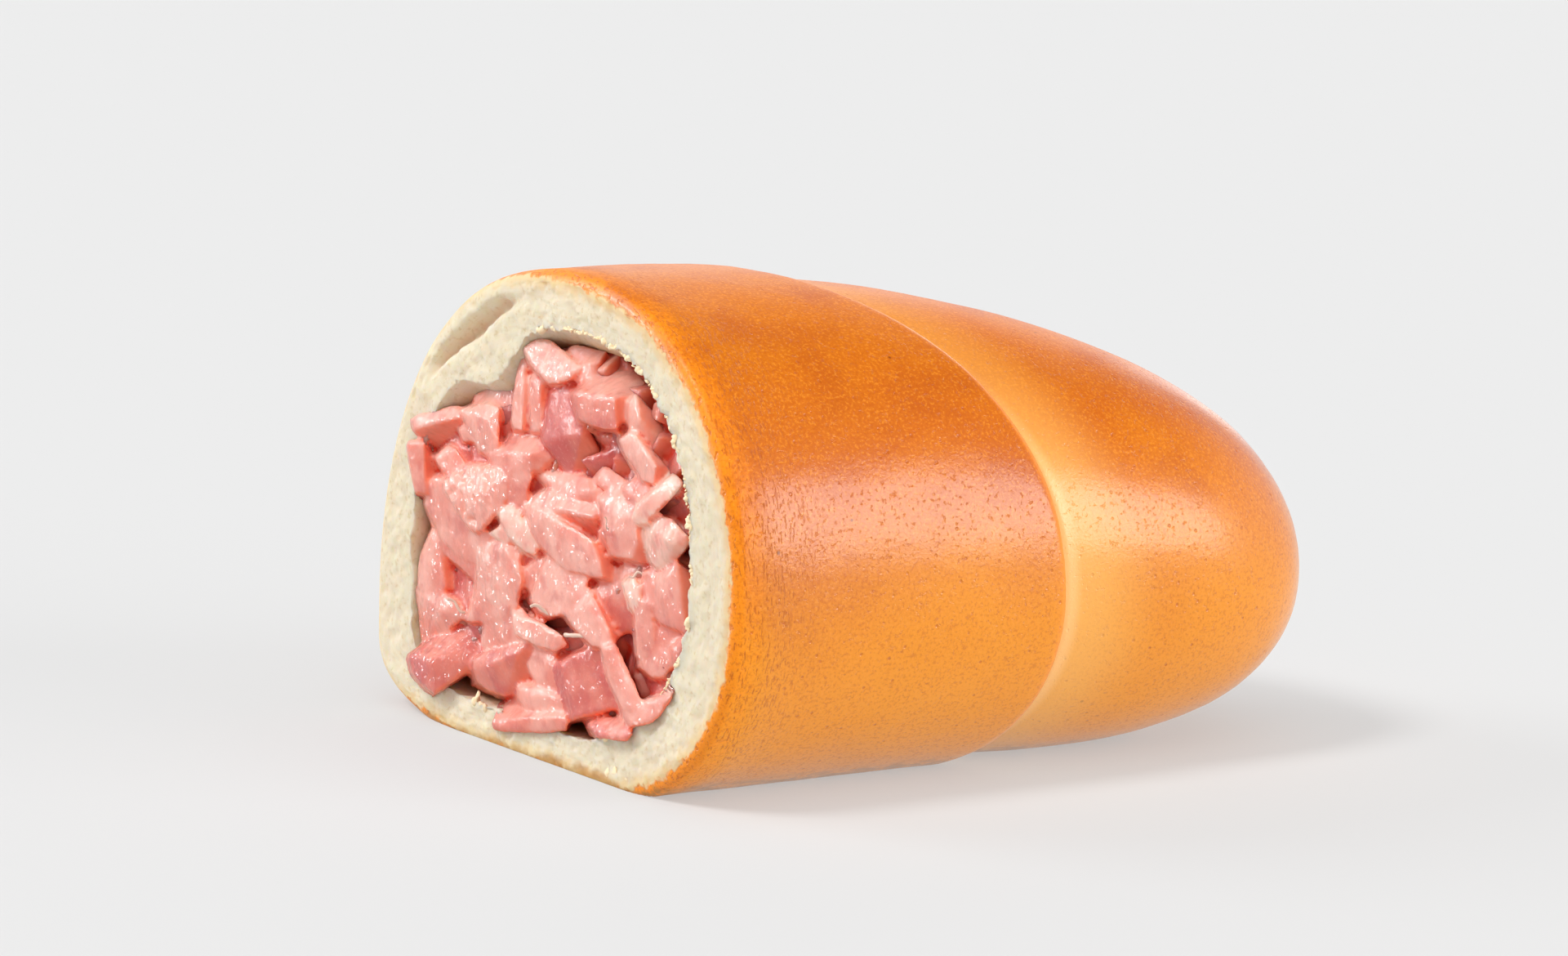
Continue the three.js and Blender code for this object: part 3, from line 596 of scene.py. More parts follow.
     (781, 735, -0.4), (779, 752, -0.2), (771, 744, -0.2), (767, 730, -0.3))),
    (0.5, 0, 0.6, ((776, 732, -0.3), (790, 737, -0.3), (795, 745, -0.2), (799, 770, -0.1),
     (801, 785, 0), (796, 800, 0), (784, 804, -0.2), (780, 801, -0.2), (779, 787, -0.3),
     (781, 776, -0.3), (778, 757, -0.3))),
    (0.3, 0, 0.3, ((787, 700, 0.2), (800, 697, 0.3), (800, 712, 0), (798, 745, -0.2),
     (790, 738, -0.2), (796, 726, 0))),
    (0.2, 0, 0.5, ((784, 804, 0), (797, 790, 0), (803, 770, 0.3), (822, 765, 0.6), (838, 777, 0.8),
     (822, 793, 0.4), (826, 813, 0.3), (815, 829, 0.2), (800, 830, 0), (792, 822, -0.1),
     (782, 816, 0))),
    (0.35, 0, 0.5, ((797, 712, 0.2), (811, 694, 0.4), (822, 685, 0.4), (829, 687, 0.2),
     (817, 706, -0.4), (813, 738, -0.4), (824, 764, -0.2), (841, 775, 0), (809, 764, 0),
     (804, 757, 0), (797, 744, 0.1), (845, 699, 1.6), (852, 716, 1.8), (846, 738, 1.6),
     (849, 770, 1.4))),
    (0.2, 0, 0.3, ((822, 793, 0), (841, 776, 0.2), (849, 772, 0.4), (849, 826, 0.5),
     (846, 832, 0.3), (836, 832, 0), (832, 827, -0.1), (826, 813, -0.1))),
    (-0.8, 0, 0.5, ((782, 818, 2), (792, 822, 1.8), (800, 830, 1.4), (815, 830, 1.2),
     (824, 820, 1.2), (834, 829, 1), (835, 836, 0.8), (828, 843, 0.7), (804, 854, 0.8),
     (795, 845, 1.6))),
    (0.4, 0, 0.4, ((737, 791, -1), (742, 791, -1.1), (754, 788, -0.8), (758, 799, -0.8),
     (764, 814, -0.8), (769, 829, -0.8), (778, 841, -0.7), (788, 863, -0.6), (775, 869, -0.9),
     (762, 867, -1), (754, 850, -1), (748, 836, -1), (743, 821, -1))),
    (0.4, 0, 0.5, ((761, 866, -0.7), (775, 864, -0.7), (788, 862, -0.6), (804, 854, -0.4),
     (818, 849, -0.2), (831, 843, 0), (816, 856, -0.5), (812, 865, -0.6), (808, 877, -0.7),
     (800, 884, -0.8), (785, 888, -0.9), (771, 889, -0.9), (766, 881, -0.9))),
    (-0.3, 0, 0.7, ((721, 888, -0.6), (725, 883, -0.3), (736, 879, 0.2), (751, 878, 0.4),
     (766, 880, 0.2), (770, 890, -0.7), (775, 898, -1), (768, 907, -1.1), (759, 905, -1.1),
     (746, 901, -1), (732, 903, -0.9), (726, 898, -0.8))),
    # In the gaps: pieces whose deep tone is painted shade.
    (-0.5, 0, 0.3, ((578, 550, 0.6), (598, 546, 0.8), (600, 568, 0.7), (580, 572, 0.5))),
    (-0.6, 0, 0.3, ((652, 560, 1), (690, 556, 1.2), (692, 584, 1.2), (650, 606, 0.9))),
    (-0.6, 0, 0.3, ((594, 632, 0.5), (618, 626, 0.6), (624, 652, 0.6), (598, 660, 0.5))),
    (-0.7, 0, 0.3, ((632, 674, 0.6), (658, 670, 0.8), (660, 700, 0.8), (634, 702, 0.6))),
    (-0.7, 0, 0.3, ((712, 700, 0.7), (742, 700, 0.9), (738, 730, 0.9), (710, 728, 0.7))),
    (-0.8, 0, 0.3, ((744, 640, 1.4), (800, 620, 1.8), (806, 700, 1.8), (750, 712, 1.4))),
    (-0.6, 0, 0.3, ((560, 690, 1.2), (592, 690, 1), (590, 780, 1), (556, 770, 1.2))),
    (-0.8, 0, 0.3, ((640, 770, 1.2), (700, 780, 1.4), (710, 850, 1.4), (640, 850, 1.2))),
)


def linear(hex_colour):
    """An sRGB hex colour as linear RGBA."""
    parts = [int(hex_colour[i : i + 2], 16) / 255 for i in (0, 2, 4)]
    return (*[p / 12.92 if p <= 0.04045 else ((p + 0.055) / 1.055) ** 2.4 for p in parts], 1.0)


def smooth(value, low, high):
    """0 below low, 1 above high and an eased step between them."""
    share = np.clip((value - low) / (high - low), 0.0, 1.0)
    return share * share * (3.0 - 2.0 * share)


def between(value, rise, risen, fall, fallen):
    """1 from risen to fall, 0 before rise and past fallen, and eased steps between."""
    return smooth(value, rise, risen) * (1.0 - smooth(value, fall, fallen))


def mix(a, b, share):
    """a where share is 0, and b where it is 1."""
    return a + (b - a) * share


def lumps(points, size, octaves=1, shift=0.0):
    """Noise of about -1 to 1 at each point. size is the width of its lumps."""
    flat = (np.asarray(points) / size + shift).reshape(-1, 3)
    values = [noise.fractal(Vector(p), 1.0, 2.0, octaves) for p in flat.tolist()]
    return np.array(values).reshape(np.shape(points)[:-1])


def relief(points, rows):
    """Heights at points: the sum of a relief's rows."""
    return sum(height * lumps(points, *row) for height, *row in rows)


def taper(t, power, root):
    """A share that falls from 1 at the cut to 0 at the end."""
    return np.maximum(1.0 - t**power, 0.0) ** (1.0 / root)


def section_sizes(t, high, low):
    """How wide (as a share), high and low a section is, a share t of the way to the end."""
    top = TIP_HEIGHT + (high - TIP_HEIGHT) * taper(t, *TOP_TAPER)
    base = low + (TIP_HEIGHT - low) * (1.0 - taper(t, *BASE_TAPER))
    return taper(t, *WIDTH_TAPER), top, base


def section_point(angle, widths, top, base, middles, powers):
    """y, z of a rounded section. Angle 0 is the near side and a quarter turn is the top.

    widths and middles are the near side's and the far side's. powers say how square each
    quarter is: the near side's base and top, then the far side's.
    """
    c, s = np.cos(angle), np.sin(angle)
    is_near = c > 0
    is_top = s > 0
    middle = base + (top - base) * np.where(is_near, *middles)
    half = np.where(is_top, top - middle, middle - base)
    square = np.array(powers)[np.where(is_near, 0, 2) + np.where(is_top, 0, 1)]
    y = -np.sign(c) * np.where(is_near, *widths) * np.abs(c) ** (2.0 / square)
    z = middle + np.sign(s) * half * np.abs(s) ** (2.0 / square)
    return y, z


def bend_at(x):
    """How far the roll has bent sideways, as a crescent does."""
    return TIP_BEND * (x / ROLL_LENGTH) ** 2


def crust_point(x, angle, lift):
    """Points of the crust, lifted off the plain form by a small distance."""
    x = np.broadcast_to(np.asarray(x, float), np.shape(angle))
    t = np.clip(x / ROLL_LENGTH, 0.0, 1.0)
    width, top, base = section_sizes(t, ROLL_HEIGHT, -BASE_SINK)
    widths = [side * width + lift for side in (NEAR_WIDTH, FAR_WIDTH)]
    middles = [mix(middle, TIP_MIDDLE, t * t) for middle in OUTSIDE_MIDDLES]
    y, z = section_point(angle, widths, top + lift, base - lift, middles, OUTSIDE_POWERS)
    return np.stack([x, y + bend_at(x), np.maximum(z, 0.0)], axis=-1)


def seam_x(angle):
    """Distance of the seam from the cut, all round the roll."""
    return SEAM_X + SEAM_SWING * np.cos(angle + SEAM_TURN) + SEAM_WAVE * np.sin(2.0 * angle)


def hollow_point(x, angle, inset=0.0, top_gap=0.0):
    """Points of the hollow's wall, kept a small distance off it when inset is more than 0."""
    x = np.broadcast_to(np.asarray(x, float), np.shape(angle))
    t = np.clip(x / HOLLOW_LENGTH, 0.0, 1.0)
    width, top, base = section_sizes(t, HOLLOW_TOP - top_gap, HOLLOW_BASE)
    widths = [np.maximum(side * width - inset, 0.0) for side in (HOLLOW_NEAR, HOLLOW_FAR)]
    top = np.maximum(top - inset, TIP_HEIGHT)
    base = np.minimum(base + inset, TIP_HEIGHT)
    y, z = section_point(angle, widths, top, base, HOLLOW_MIDDLES, HOLLOW_POWERS)
    across = np.exp(-(((y - FOLD_Y) / FOLD_WIDTH) ** 2)) * (np.sin(angle) > 0)
    z = z - FOLD_DROP * across * (1.0 - smooth(x, 0.0, FOLD_REACH))
    return np.stack([x, y + bend_at(x), z], axis=-1)


def core_rim(x, angle):
    """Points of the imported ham's outside, a little inside the hollow's wall."""
    return hollow_point(x, angle, CORE_INSET, CORE_TOP_GAP)


def part_offset():
    """From the roll's own frame, in millimetres, to the part's frame, in metres."""
    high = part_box("bread_roll")[1]
    widest = crust_point(RIM_X, np.array([math.pi]), WRAP_LIFT)[0, 1]
    return Vector((high.x - ROLL_LENGTH * MM, high.y - widest * MM, 0.0))


OFFSET = part_offset()


def in_part(points):
    """Points of the roll's own frame as points of the part's frame."""
    return (np.array(points) * MM + np.array(OFFSET)).tolist()


def camera_place():
    """The camera's turn, as a 3 x 3 matrix, and where it stands."""
    level = math.cos(SIGHT_TILT)
    across, along = math.sin(SIGHT_YAW), math.cos(SIGHT_YAW)
    forward = Vector((across * level, along * level, -math.sin(SIGHT_TILT)))
    right = Vector((along, -across, 0.0))
    base = Matrix((right, right.cross(forward), -forward)).transposed()
    turned = base @ Matrix.Rotation(SIGHT_AIM[0], 3, "Y") @ Matrix.Rotation(SIGHT_AIM[1], 3, "X")
    return turned, SIGHT_TARGET - forward * SIGHT_DISTANCE


CAMERA_TURN, CAMERA_EYE = camera_place()


def sight_point(across, down, depth):
    """The point at a depth behind the cut that shows at a place in the view."""
    span = SENSOR / LENS / VIEW_WIDE
    aim = Vector(((across - VIEW_WIDE / 2) * span, (VIEW_HIGH / 2 - down) * span, -1.0))
    ray = CAMERA_TURN @ aim
    return CAMERA_EYE + ray * ((depth - CAMERA_EYE.x) / ray.x)


def even_angles(ring, counts):
    """Angles whose points are evenly spaced along each quarter of a ring."""
    share = 0.5 - 0.5 * np.cos(np.linspace(0.0, math.pi, RING_SAMPLES))
    found = []
    for quarter, count in enumerate(counts):
        angle = (quarter + share) * math.pi / 2.0
        points = ring(angle)
        steps = np.linalg.norm(np.diff(points, axis=0), axis=1)
        length = np.concatenate([[0.0], np.cumsum(steps)])
        wanted = np.linspace(0.0, length[-1], count, endpoint=False)
        found.append(np.interp(wanted, length, angle))
    return np.concatenate(found)


def grid_normals(grid):
    """Unit normals of a closed grid of rows, which face the way its faces do."""
    along_row = np.roll(grid, -1, axis=1) - np.roll(grid, 1, axis=1)
    along_column = np.gradient(grid, axis=0)
    normals = np.cross(along_row, along_column)
    length = np.linalg.norm(normals, axis=-1, keepdims=True)
    return normals / np.maximum(length, 1e-9)


class Shell:
    """A closed surface: a first point, rows of points round it, and a last point."""

    def __init__(self, first, grid, last, **values):
        self.first = np.asarray(first, float)
        self.grid = grid
        self.last = np.asarray(last, float)
        self.values = values

    def points(self):
        return np.concatenate([[self.first], self.grid.reshape(-1, 3), [self.last]])

    def faces(self):
        rows, columns = self.grid.shape[:2]
        place = 1 + np.arange(rows * columns).reshape(rows, columns)
        after = np.roll(place, -1, axis=1)
        end = 1 + rows * columns
        faces = np.stack([place[:-1], after[:-1], after[1:], place[1:]], axis=-1)
        faces = faces.reshape(-1, 4).tolist()
        faces += [(0, b, a) for a, b in zip(place[0].tolist(), after[0].tolist())]
        faces += [(a, b, end) for a, b in zip(place[-1].tolist(), after[-1].tolist())]
        return faces

    def value(self, name):
        """One number for each point: the poles take the number of the row beside them."""
        grid = np.broadcast_to(self.values[name], self.grid.shape[:2])
        return np.concatenate([[grid[0].mean()], grid.reshape(-1), [grid[-1].mean()]])


class Skin:
    """A closed surface of quads, with a number of each kind for each point."""

    def __init__(self, corners, quads, **values):
        self.corners = corners
        self.quads = quads
        self.values = values

    def points(self):
        return self.corners

    def faces(self):
        return self.quads.tolist()

    def value(self, name):
        return self.values[name]


def linked(name, data):
    """A new object in the scene for a mesh, a lamp or a camera."""
    piece = bpy.data.objects.new(name, data)
    bpy.context.scene.collection.objects.link(piece)
    return piece


def store(mesh, name, values):
    """Keeps a number for each point of a mesh, as an attribute."""
    mesh.attributes.new(name, "FLOAT", "POINT").data.foreach_set("value", values)


def make_object(name, surface, material):
    """One mesh object in the part's frame, with the surface's values as attributes."""
    mesh = bpy.data.meshes.new(name)
    mesh.from_pydata(in_part(surface.points()), [], surface.faces())
    for key in surface.values:
        store(mesh, key, surface.value(key))
    mesh.shade_smooth()
    mesh.materials.append(material)
    return linked(name, mesh)


def new_material(name):
    """A material, and its tree with no nodes yet."""
    material = bpy.data.materials.new(name)
    material.use_nodes = True
    tree = material.node_tree
    tree.nodes.clear()
    return material, tree


def add(tree, kind, settings=None, inputs=None, out=0):
    """Adds a node with its settings and with inputs as numbers or links, and gives its output."""
    node = tree.nodes.new(kind)
    for key, value in (settings or {}).items():
        setattr(node, key, value)
    for key, value in (inputs or {}).items():
        if isinstance(value, bpy.types.NodeSocket):
            tree.links.new(value, node.inputs[key])
        else:
            node.inputs[key].default_value = value
    return node.outputs[out] if node.outputs else None


def eased(tree, *bands):
    """The product of bands. A band goes from start to end while its value goes from low to high.

    It is (value, low, high, start, end, interpolation), and the last three may be left out.
    """
    total = None
    for value, low, high, *rest in bands:
        start, end, how = (*rest, *(0.0, 1.0, "SMOOTHSTEP")[len(rest) :])
        inputs = {0: value, 1: low, 2: high, 3: start, 4: end}
        band = add(tree, "ShaderNodeMapRange", {"interpolation_type": how}, inputs)
        if total is None:
            total = band
        else:
            total = add(tree, "ShaderNodeMath", {"operation": "MULTIPLY"}, {0: total, 1: band})
    return total


def layered(tree, colour, *layers):
    """A colour with layers over it: each has a colour, and bands that say how much it covers."""
    for over, *bands in layers:
        inputs = {"Factor": eased(tree, *bands), 6: colour, 7: over}
        colour = add(tree, "ShaderNodeMix", {"data_type": "RGBA"}, inputs, out=2)
    return colour


def food_material(name, values, grains):
    """Starts a material, with its place, the mesh's values and its grains of noise by name."""
    material, tree = new_material(name)
    place = add(tree, "ShaderNodeTexCoord", out="Object")
    food = SimpleNamespace(place=place)
    for key in values:
        value = add(tree, "ShaderNodeAttribute", {"attribute_name": key}, out="Fac")
        setattr(food, key, value)
    for key, size, detail, rough in grains:
        inputs = {"Vector": place, "Scale": 1.0 / (size * MM), "Detail": detail, "Roughness": rough}
        setattr(food, key, add(tree, "ShaderNodeTexNoise", {}, inputs))
    return material, tree, food


def bread_material(finish):
    """Milk bread, egg-washed and baked: a thin golden glossy skin over a soft pale crumb.

    The skin is mottled with a grain of about a third of a millimetre, darkest on the upper
    flank and palest by the base and past the seam; by the base it is also painted paler, as
    painted light. The crumb is matt, with fine pores, painted darker as painted shade, and
    strands that follow the layers.
    Heights and widths are millimetres.
    """
    values = ("from_rim", "from_hollow", "from_seam", "faces_up")
    material, tree, bread = food_material("baked_milk_bread", values, BREAD_GRAINS)
    height = add(tree, "ShaderNodeSeparateXYZ", inputs={0: bread.place}, out="Z")
    height = add(tree, "ShaderNodeMath", {"operation": "DIVIDE"}, {0: height, 1: MM})
    climb, edge = (
        add(tree, "ShaderNodeMath", {"operation": "MULTIPLY_ADD"}, {0: grain, 1: reach, 2: height})
        for grain, reach in ((bread.browning, BROWNING_REACH), (bread.base_edge, BASE_EDGE_REACH))
    )
    ragged = eased(tree, (bread.ragged_rim, 0.25, 0.75, -0.55, 0.55, "LINEAR"))
    wander = add(tree, "ShaderNodeMath", {"operation": "ADD"}, {0: bread.from_rim, 1: ragged})
    into_crumb = (wander, -0.35, 0.25)
    is_crumb = eased(tree, into_crumb)
    pits, specks = (
        add(tree, "ShaderNodeTexVoronoi", {}, {"Vector": bread.place, "Scale": 1.0 / (space * MM)})
        for space in (PIT_SPACE, SPECK_SPACE)
    )
    stretch = {0: bread.place, 1: [1.0 / (width * MM) for width in WRINKLE_WIDTHS]}
    stretched = add(tree, "ShaderNodeVectorMath", {"operation": "MULTIPLY"}, stretch)
    inputs = {"Vector": stretched, "Scale": 1.0, "Detail": 2.0}
    lines = add(tree, "ShaderNodeTexNoise", {}, inputs)
    twist = {0: bread.from_rim, 1: STRAND_TWIST}
    twist = add(tree, "ShaderNodeMath", {"operation": "MULTIPLY"}, twist)
    inputs = {"Vector": bread.place, "W": twist, "Scale": 1.0 / (STRAND_WIDTH * MM), "Detail": 3.0}
    strands = add(tree, "ShaderNodeTexNoise", {"noise_dimensions": "4D"}, inputs)

    # Short wrinkles, along the cut near it and in no direction further off, and a few pits.
    dips = eased(tree, (lines, 0.57, 0.68), (bread.from_rim, -14.0, -3.0))
    for more in (
        eased(tree, (bread.wrinkles, 0.57, 0.76, 0.0, 0.7)),
        eased(tree, (pits, 0.13, 0.05)),
    ):
        dips = add(tree, "ShaderNodeMath", {"operation": "MAXIMUM"}, {0: dips, 1: more})

    skin = layered(
        tree,
        finish["crust_base_painted_light"],
        # The colour climbs from the pale base to the browned upper flank. The base is also painted
        # paler than its browning alone, as painted light against the shade under the roll.
        (finish["crust_low"], (climb, 11.0, 29.7, 0.0, 1.0, "LINEAR")),
        (finish["crust_dark"], (climb, 29.7, 48.4, 0.0, 1.0, "LINEAR")),
        (finish["crust_top"], (climb, 48.4, 66.0, 0.0, 1.0, "LINEAR")),
        # Near the cut the skin takes the colour of the light that comes through its edge.
        (finish["rim_orange"], (wander, -3.6, -1.0, 0.0, 0.9)),
        # Mottling, the fine stipple, and painted shade in the wrinkles and pits.
        (finish["crust_brown_and_shade"], (bread.patches, 0.48, 0.7, 0.0, 0.5), (height, 22.0, 36.0)),
        (finish["crust_brown_and_shade"], (bread.stipple, 0.5, 0.66, 0.0, 0.36)),
        (finish["crust_fleck"], (bread.stipple, 0.48, 0.34, 0.0, 0.4)),
        (finish["crust_brown_and_shade"], (dips, 0.0, 1.0, 0.0, 0.5, "LINEAR")),
        (finish["crust_speck"], (specks, 0.04, 0.018, 0.0, 0.8)),
        # Past the seam the dough was covered and browned less, and its edge is a cream line.
        (
            finish["seam_pale"],
            (bread.from_seam, 1.2, 14.0, 1.0, 0.0),
            (bread.from_seam, 0.0, 0.3),
            (height, 26.0, 50.0, 0.75, 0.3),
        ),
        (
            finish["seam_band"],
            (bread.from_seam, 0.1, 0.4),
            (bread.from_seam, 1.2, 2.8, 0.6, 0.0),
            (height, 28.0, 44.0, 1.0, 0.15),
        ),
        (
            finish["seam_cream"],
            (bread.from_seam, -0.06, 0.08),
            (bread.from_seam, 0.4, 0.65, 1.0, 0.0),
            (height, 36.0, 47.0, 0.95, 0.2),
        ),
        (
            finish["rim_orange"],
            (bread.from_seam, -1.4, -0.3),
            (bread.from_seam, -0.1, 0.05, 0.7, 0.0),
        ),
        # The base baked on the tray, where it is brown and ragged.
        (finish["crust_scorched"], (height, 2.2, 0.8), (bread.scorch, 0.42, 0.6)),
    )
    # The crumb is yellower towards the skin, and has strands that follow the layers.
    crumb = layered(
        tree,
        finish["crumb_pale"],
        (finish["crumb_warm"], (strands, 0.38, 0.6)),
        # Pores are painted darker, as painted shade in the holes.
        (finish["crumb_pore_shade"], (bread.pores, 0.54, 0.7), (strands, 0.35, 0.6, 0.1, 0.7)),
        # The hollow's wall and the pocket darken further in: partly moist crumb, partly painted
        # shade.
        (finish["crumb_moist_and_shade"], (bread.from_hollow, 0.2, 5.0, 0.0, 0.95)),
        (finish["crumb_yellow"], (wander, 0.2, 2.0, 0.8, 0.0)),
    )
    colour = layered(
        tree,
        skin,
        (crumb, into_crumb),
        (finish["crust_scorched"], (edge, -0.4, -1.6, 0.0, 0.75)),
    )

    heights = []
    for coarse, coarse_height, fine, fine_height in (
        (dips, -0.9, bread.stipple, 0.5),
        (strands, 1.8, bread.crumb_grain, 0.9),
    ):
        fine = add(tree, "ShaderNodeMath", {"operation": "MULTIPLY"}, {0: fine, 1: fine_height})
        inputs = {0: coarse, 1: coarse_height, 2: fine}
        heights.append(add(tree, "ShaderNodeMath", {"operation": "MULTIPLY_ADD"}, inputs))
    inputs = {
        "Strength": 0.8,
        "Distance": 0.08 * MM,
        "Height": layered(tree, heights[0], (heights[1], into_crumb)),
    }
    bump = add(tree, "ShaderNodeBump", {}, inputs)
    # The roll's very top is less glossy than its flanks.
    top_rough = eased(tree, (bread.faces_up, 0.8, 0.96, 0.42, 0.6))
    crumb_rough = eased(tree, (is_crumb, 0.0, 1.0, 0.42, 0.9))
    rough = {0: top_rough, 1: crumb_rough}
    inputs = {
        "Base Color": colour,
        "Roughness": add(tree, "ShaderNodeMath", {"operation": "MAXIMUM"}, rough),
        "IOR": 1.36,
        "Specular IOR Level": 0.4,
        "Normal": bump,
        "Coat Weight": eased(
            tree,
            (is_crumb, 0.0, 0.3, 0.9, 0.0),
            (bread.from_rim, -1.5, -6.0, 0.1, 1.0),
            (bread.faces_up, 0.8, 0.96, 1.0, 0.25),
        ),
        "Coat Roughness": 0.2,
        "Coat IOR": 1.44,
        "Coat Normal": bump,
        "Subsurface Weight": eased(tree, (is_crumb, 0.0, 1.0, 0.12, 0.5)),
        "Subsurface Radius": (0.0026, 0.0018, 0.001),
        "Subsurface Scale": 1.0,
    }
    settings = {"subsurface_method": "RANDOM_WALK"}
    shader = add(tree, "ShaderNodeBsdfPrincipled", settings, inputs)
    add(tree, "ShaderNodeOutputMaterial", inputs={"Surface": shader})
    return material


def little_material(name, colour, rough):
    """What is too small to let much light through: torn crumb and thin shreds of meat.

    It is matt and of one colour, and its uneven form gives it its light and dark sides.
    """
    material, tree = new_material(name)
    inputs = {"Base Color": colour, "Roughness": rough, "IOR": 1.38}
    shader = add(tree, "ShaderNodeBsdfPrincipled", {}, inputs)
    add(tree, "ShaderNodeOutputMaterial", inputs={"Surface": shader})
    return material


def ham_material(finish):
    """Cooked ham, pressed and diced: moist, translucent pink meat with a fine fibre.

    Its knife-cut faces are pale, with wet glints. Its sides away from the light, its gaps and its
    creases are painted a deeper salmon red: painted shade, with the light that comes through the
    meat.
    """
    values = ("tone", "fat", "side", "depth", "wet")
    material, tree, ham = food_material("diced_cooked_ham", values, HAM_GRAINS)
    mottle = eased(tree, (ham.mottle, 0.3, 0.7, -0.35, 0.35))
    level = add(tree, "ShaderNodeMath", {"operation": "ADD"}, {0: ham.tone, 1: mottle})
    paleness = eased(tree, (level, -1.2, 1.2))
    meat = layered(
        tree,
        finish["ham_deep"],
        (finish["ham_pink"], (paleness, 0.0, 0.5, 0.0, 1.0, "LINEAR")),
        (finish["ham_pale"], (paleness, 0.5, 1.0, 0.0, 1.0, "LINEAR")),
        (finish["ham_pale"], (ham.fleck, 0.54, 0.7, 0.0, 0.25)),
        (finish["ham_deep"], (ham.blotch, 0.48, 0.3, 0.0, 0.4)),
        # Painted shade on the sides away from the light, with the light that comes through the
        # meat.
        (finish["ham_side_shade"], (ham.side, 0.3, 0.8, 0.0, 0.7)),
        # Painted shade in the gaps and creases, growing with depth.
        (finish["ham_gap_shade"], (ham.depth, 0.9, 3.6, 0.0, 0.85)),
        (finish["ham_fat"], (ham.fat, 0.0, 1.0, 0.0, 1.0, "LINEAR"), (ham.marbling, 0.3, 0.6)),
    )
    fibre = {0: ham.fine_fibre, 1: 0.45, 2: ham.fibre}
    fibre = add(tree, "ShaderNodeMath", {"operation": "MULTIPLY_ADD"}, fibre)
    inputs = {"Strength": 0.7, "Distance": 0.06 * MM, "Height": fibre}
    bump = add(tree, "ShaderNodeBump", {}, inputs)
    # The film of juice is smoother than the meat, and thicker where the piece is wet.
    film = add(tree, "ShaderNodeMath", {"operation": "MULTIPLY"}, {0: ham.film, 1: 1.6})
    thick = eased(tree, (ham.wet, 0.0, 1.0, 0.3 * MM, 0.8 * MM))
    juice = {"Strength": 0.9, "Distance": thick, "Height": film}
    juice = add(tree, "ShaderNodeBump", {}, juice)
    inputs = {
        "Base Color": meat,
        "Roughness": eased(tree, (ham.gloss, 0.35, 0.65, 0.28, 0.45)),
        "IOR": 1.38,
        "Normal": bump,
        "Specular IOR Level": 0.25,
        "Coat Weight": eased(tree, (ham.wet, 0.0, 1.0, 0.08, 0.6)),
        "Coat Roughness": 0.17,
        "Coat IOR": 1.36,
        "Coat Normal": juice,
        "Subsurface Weight": 0.85,
        "Subsurface Radius": (0.0024, 0.0008, 0.00045),
        "Subsurface Scale": 1.0,
    }
    shader = add(tree, "ShaderNodeBsdfPrincipled", {"subsurface_method": "BURLEY"}, inputs)
    add(tree, "ShaderNodeOutputMaterial", inputs={"Surface": shader})
    return material


def pocket_depth(angle):
    """How far the pocket between the layers goes in, round the far top of the cut."""
    return POCKET_DEPTH * between(np.degrees(angle), *POCKET_TURNS)


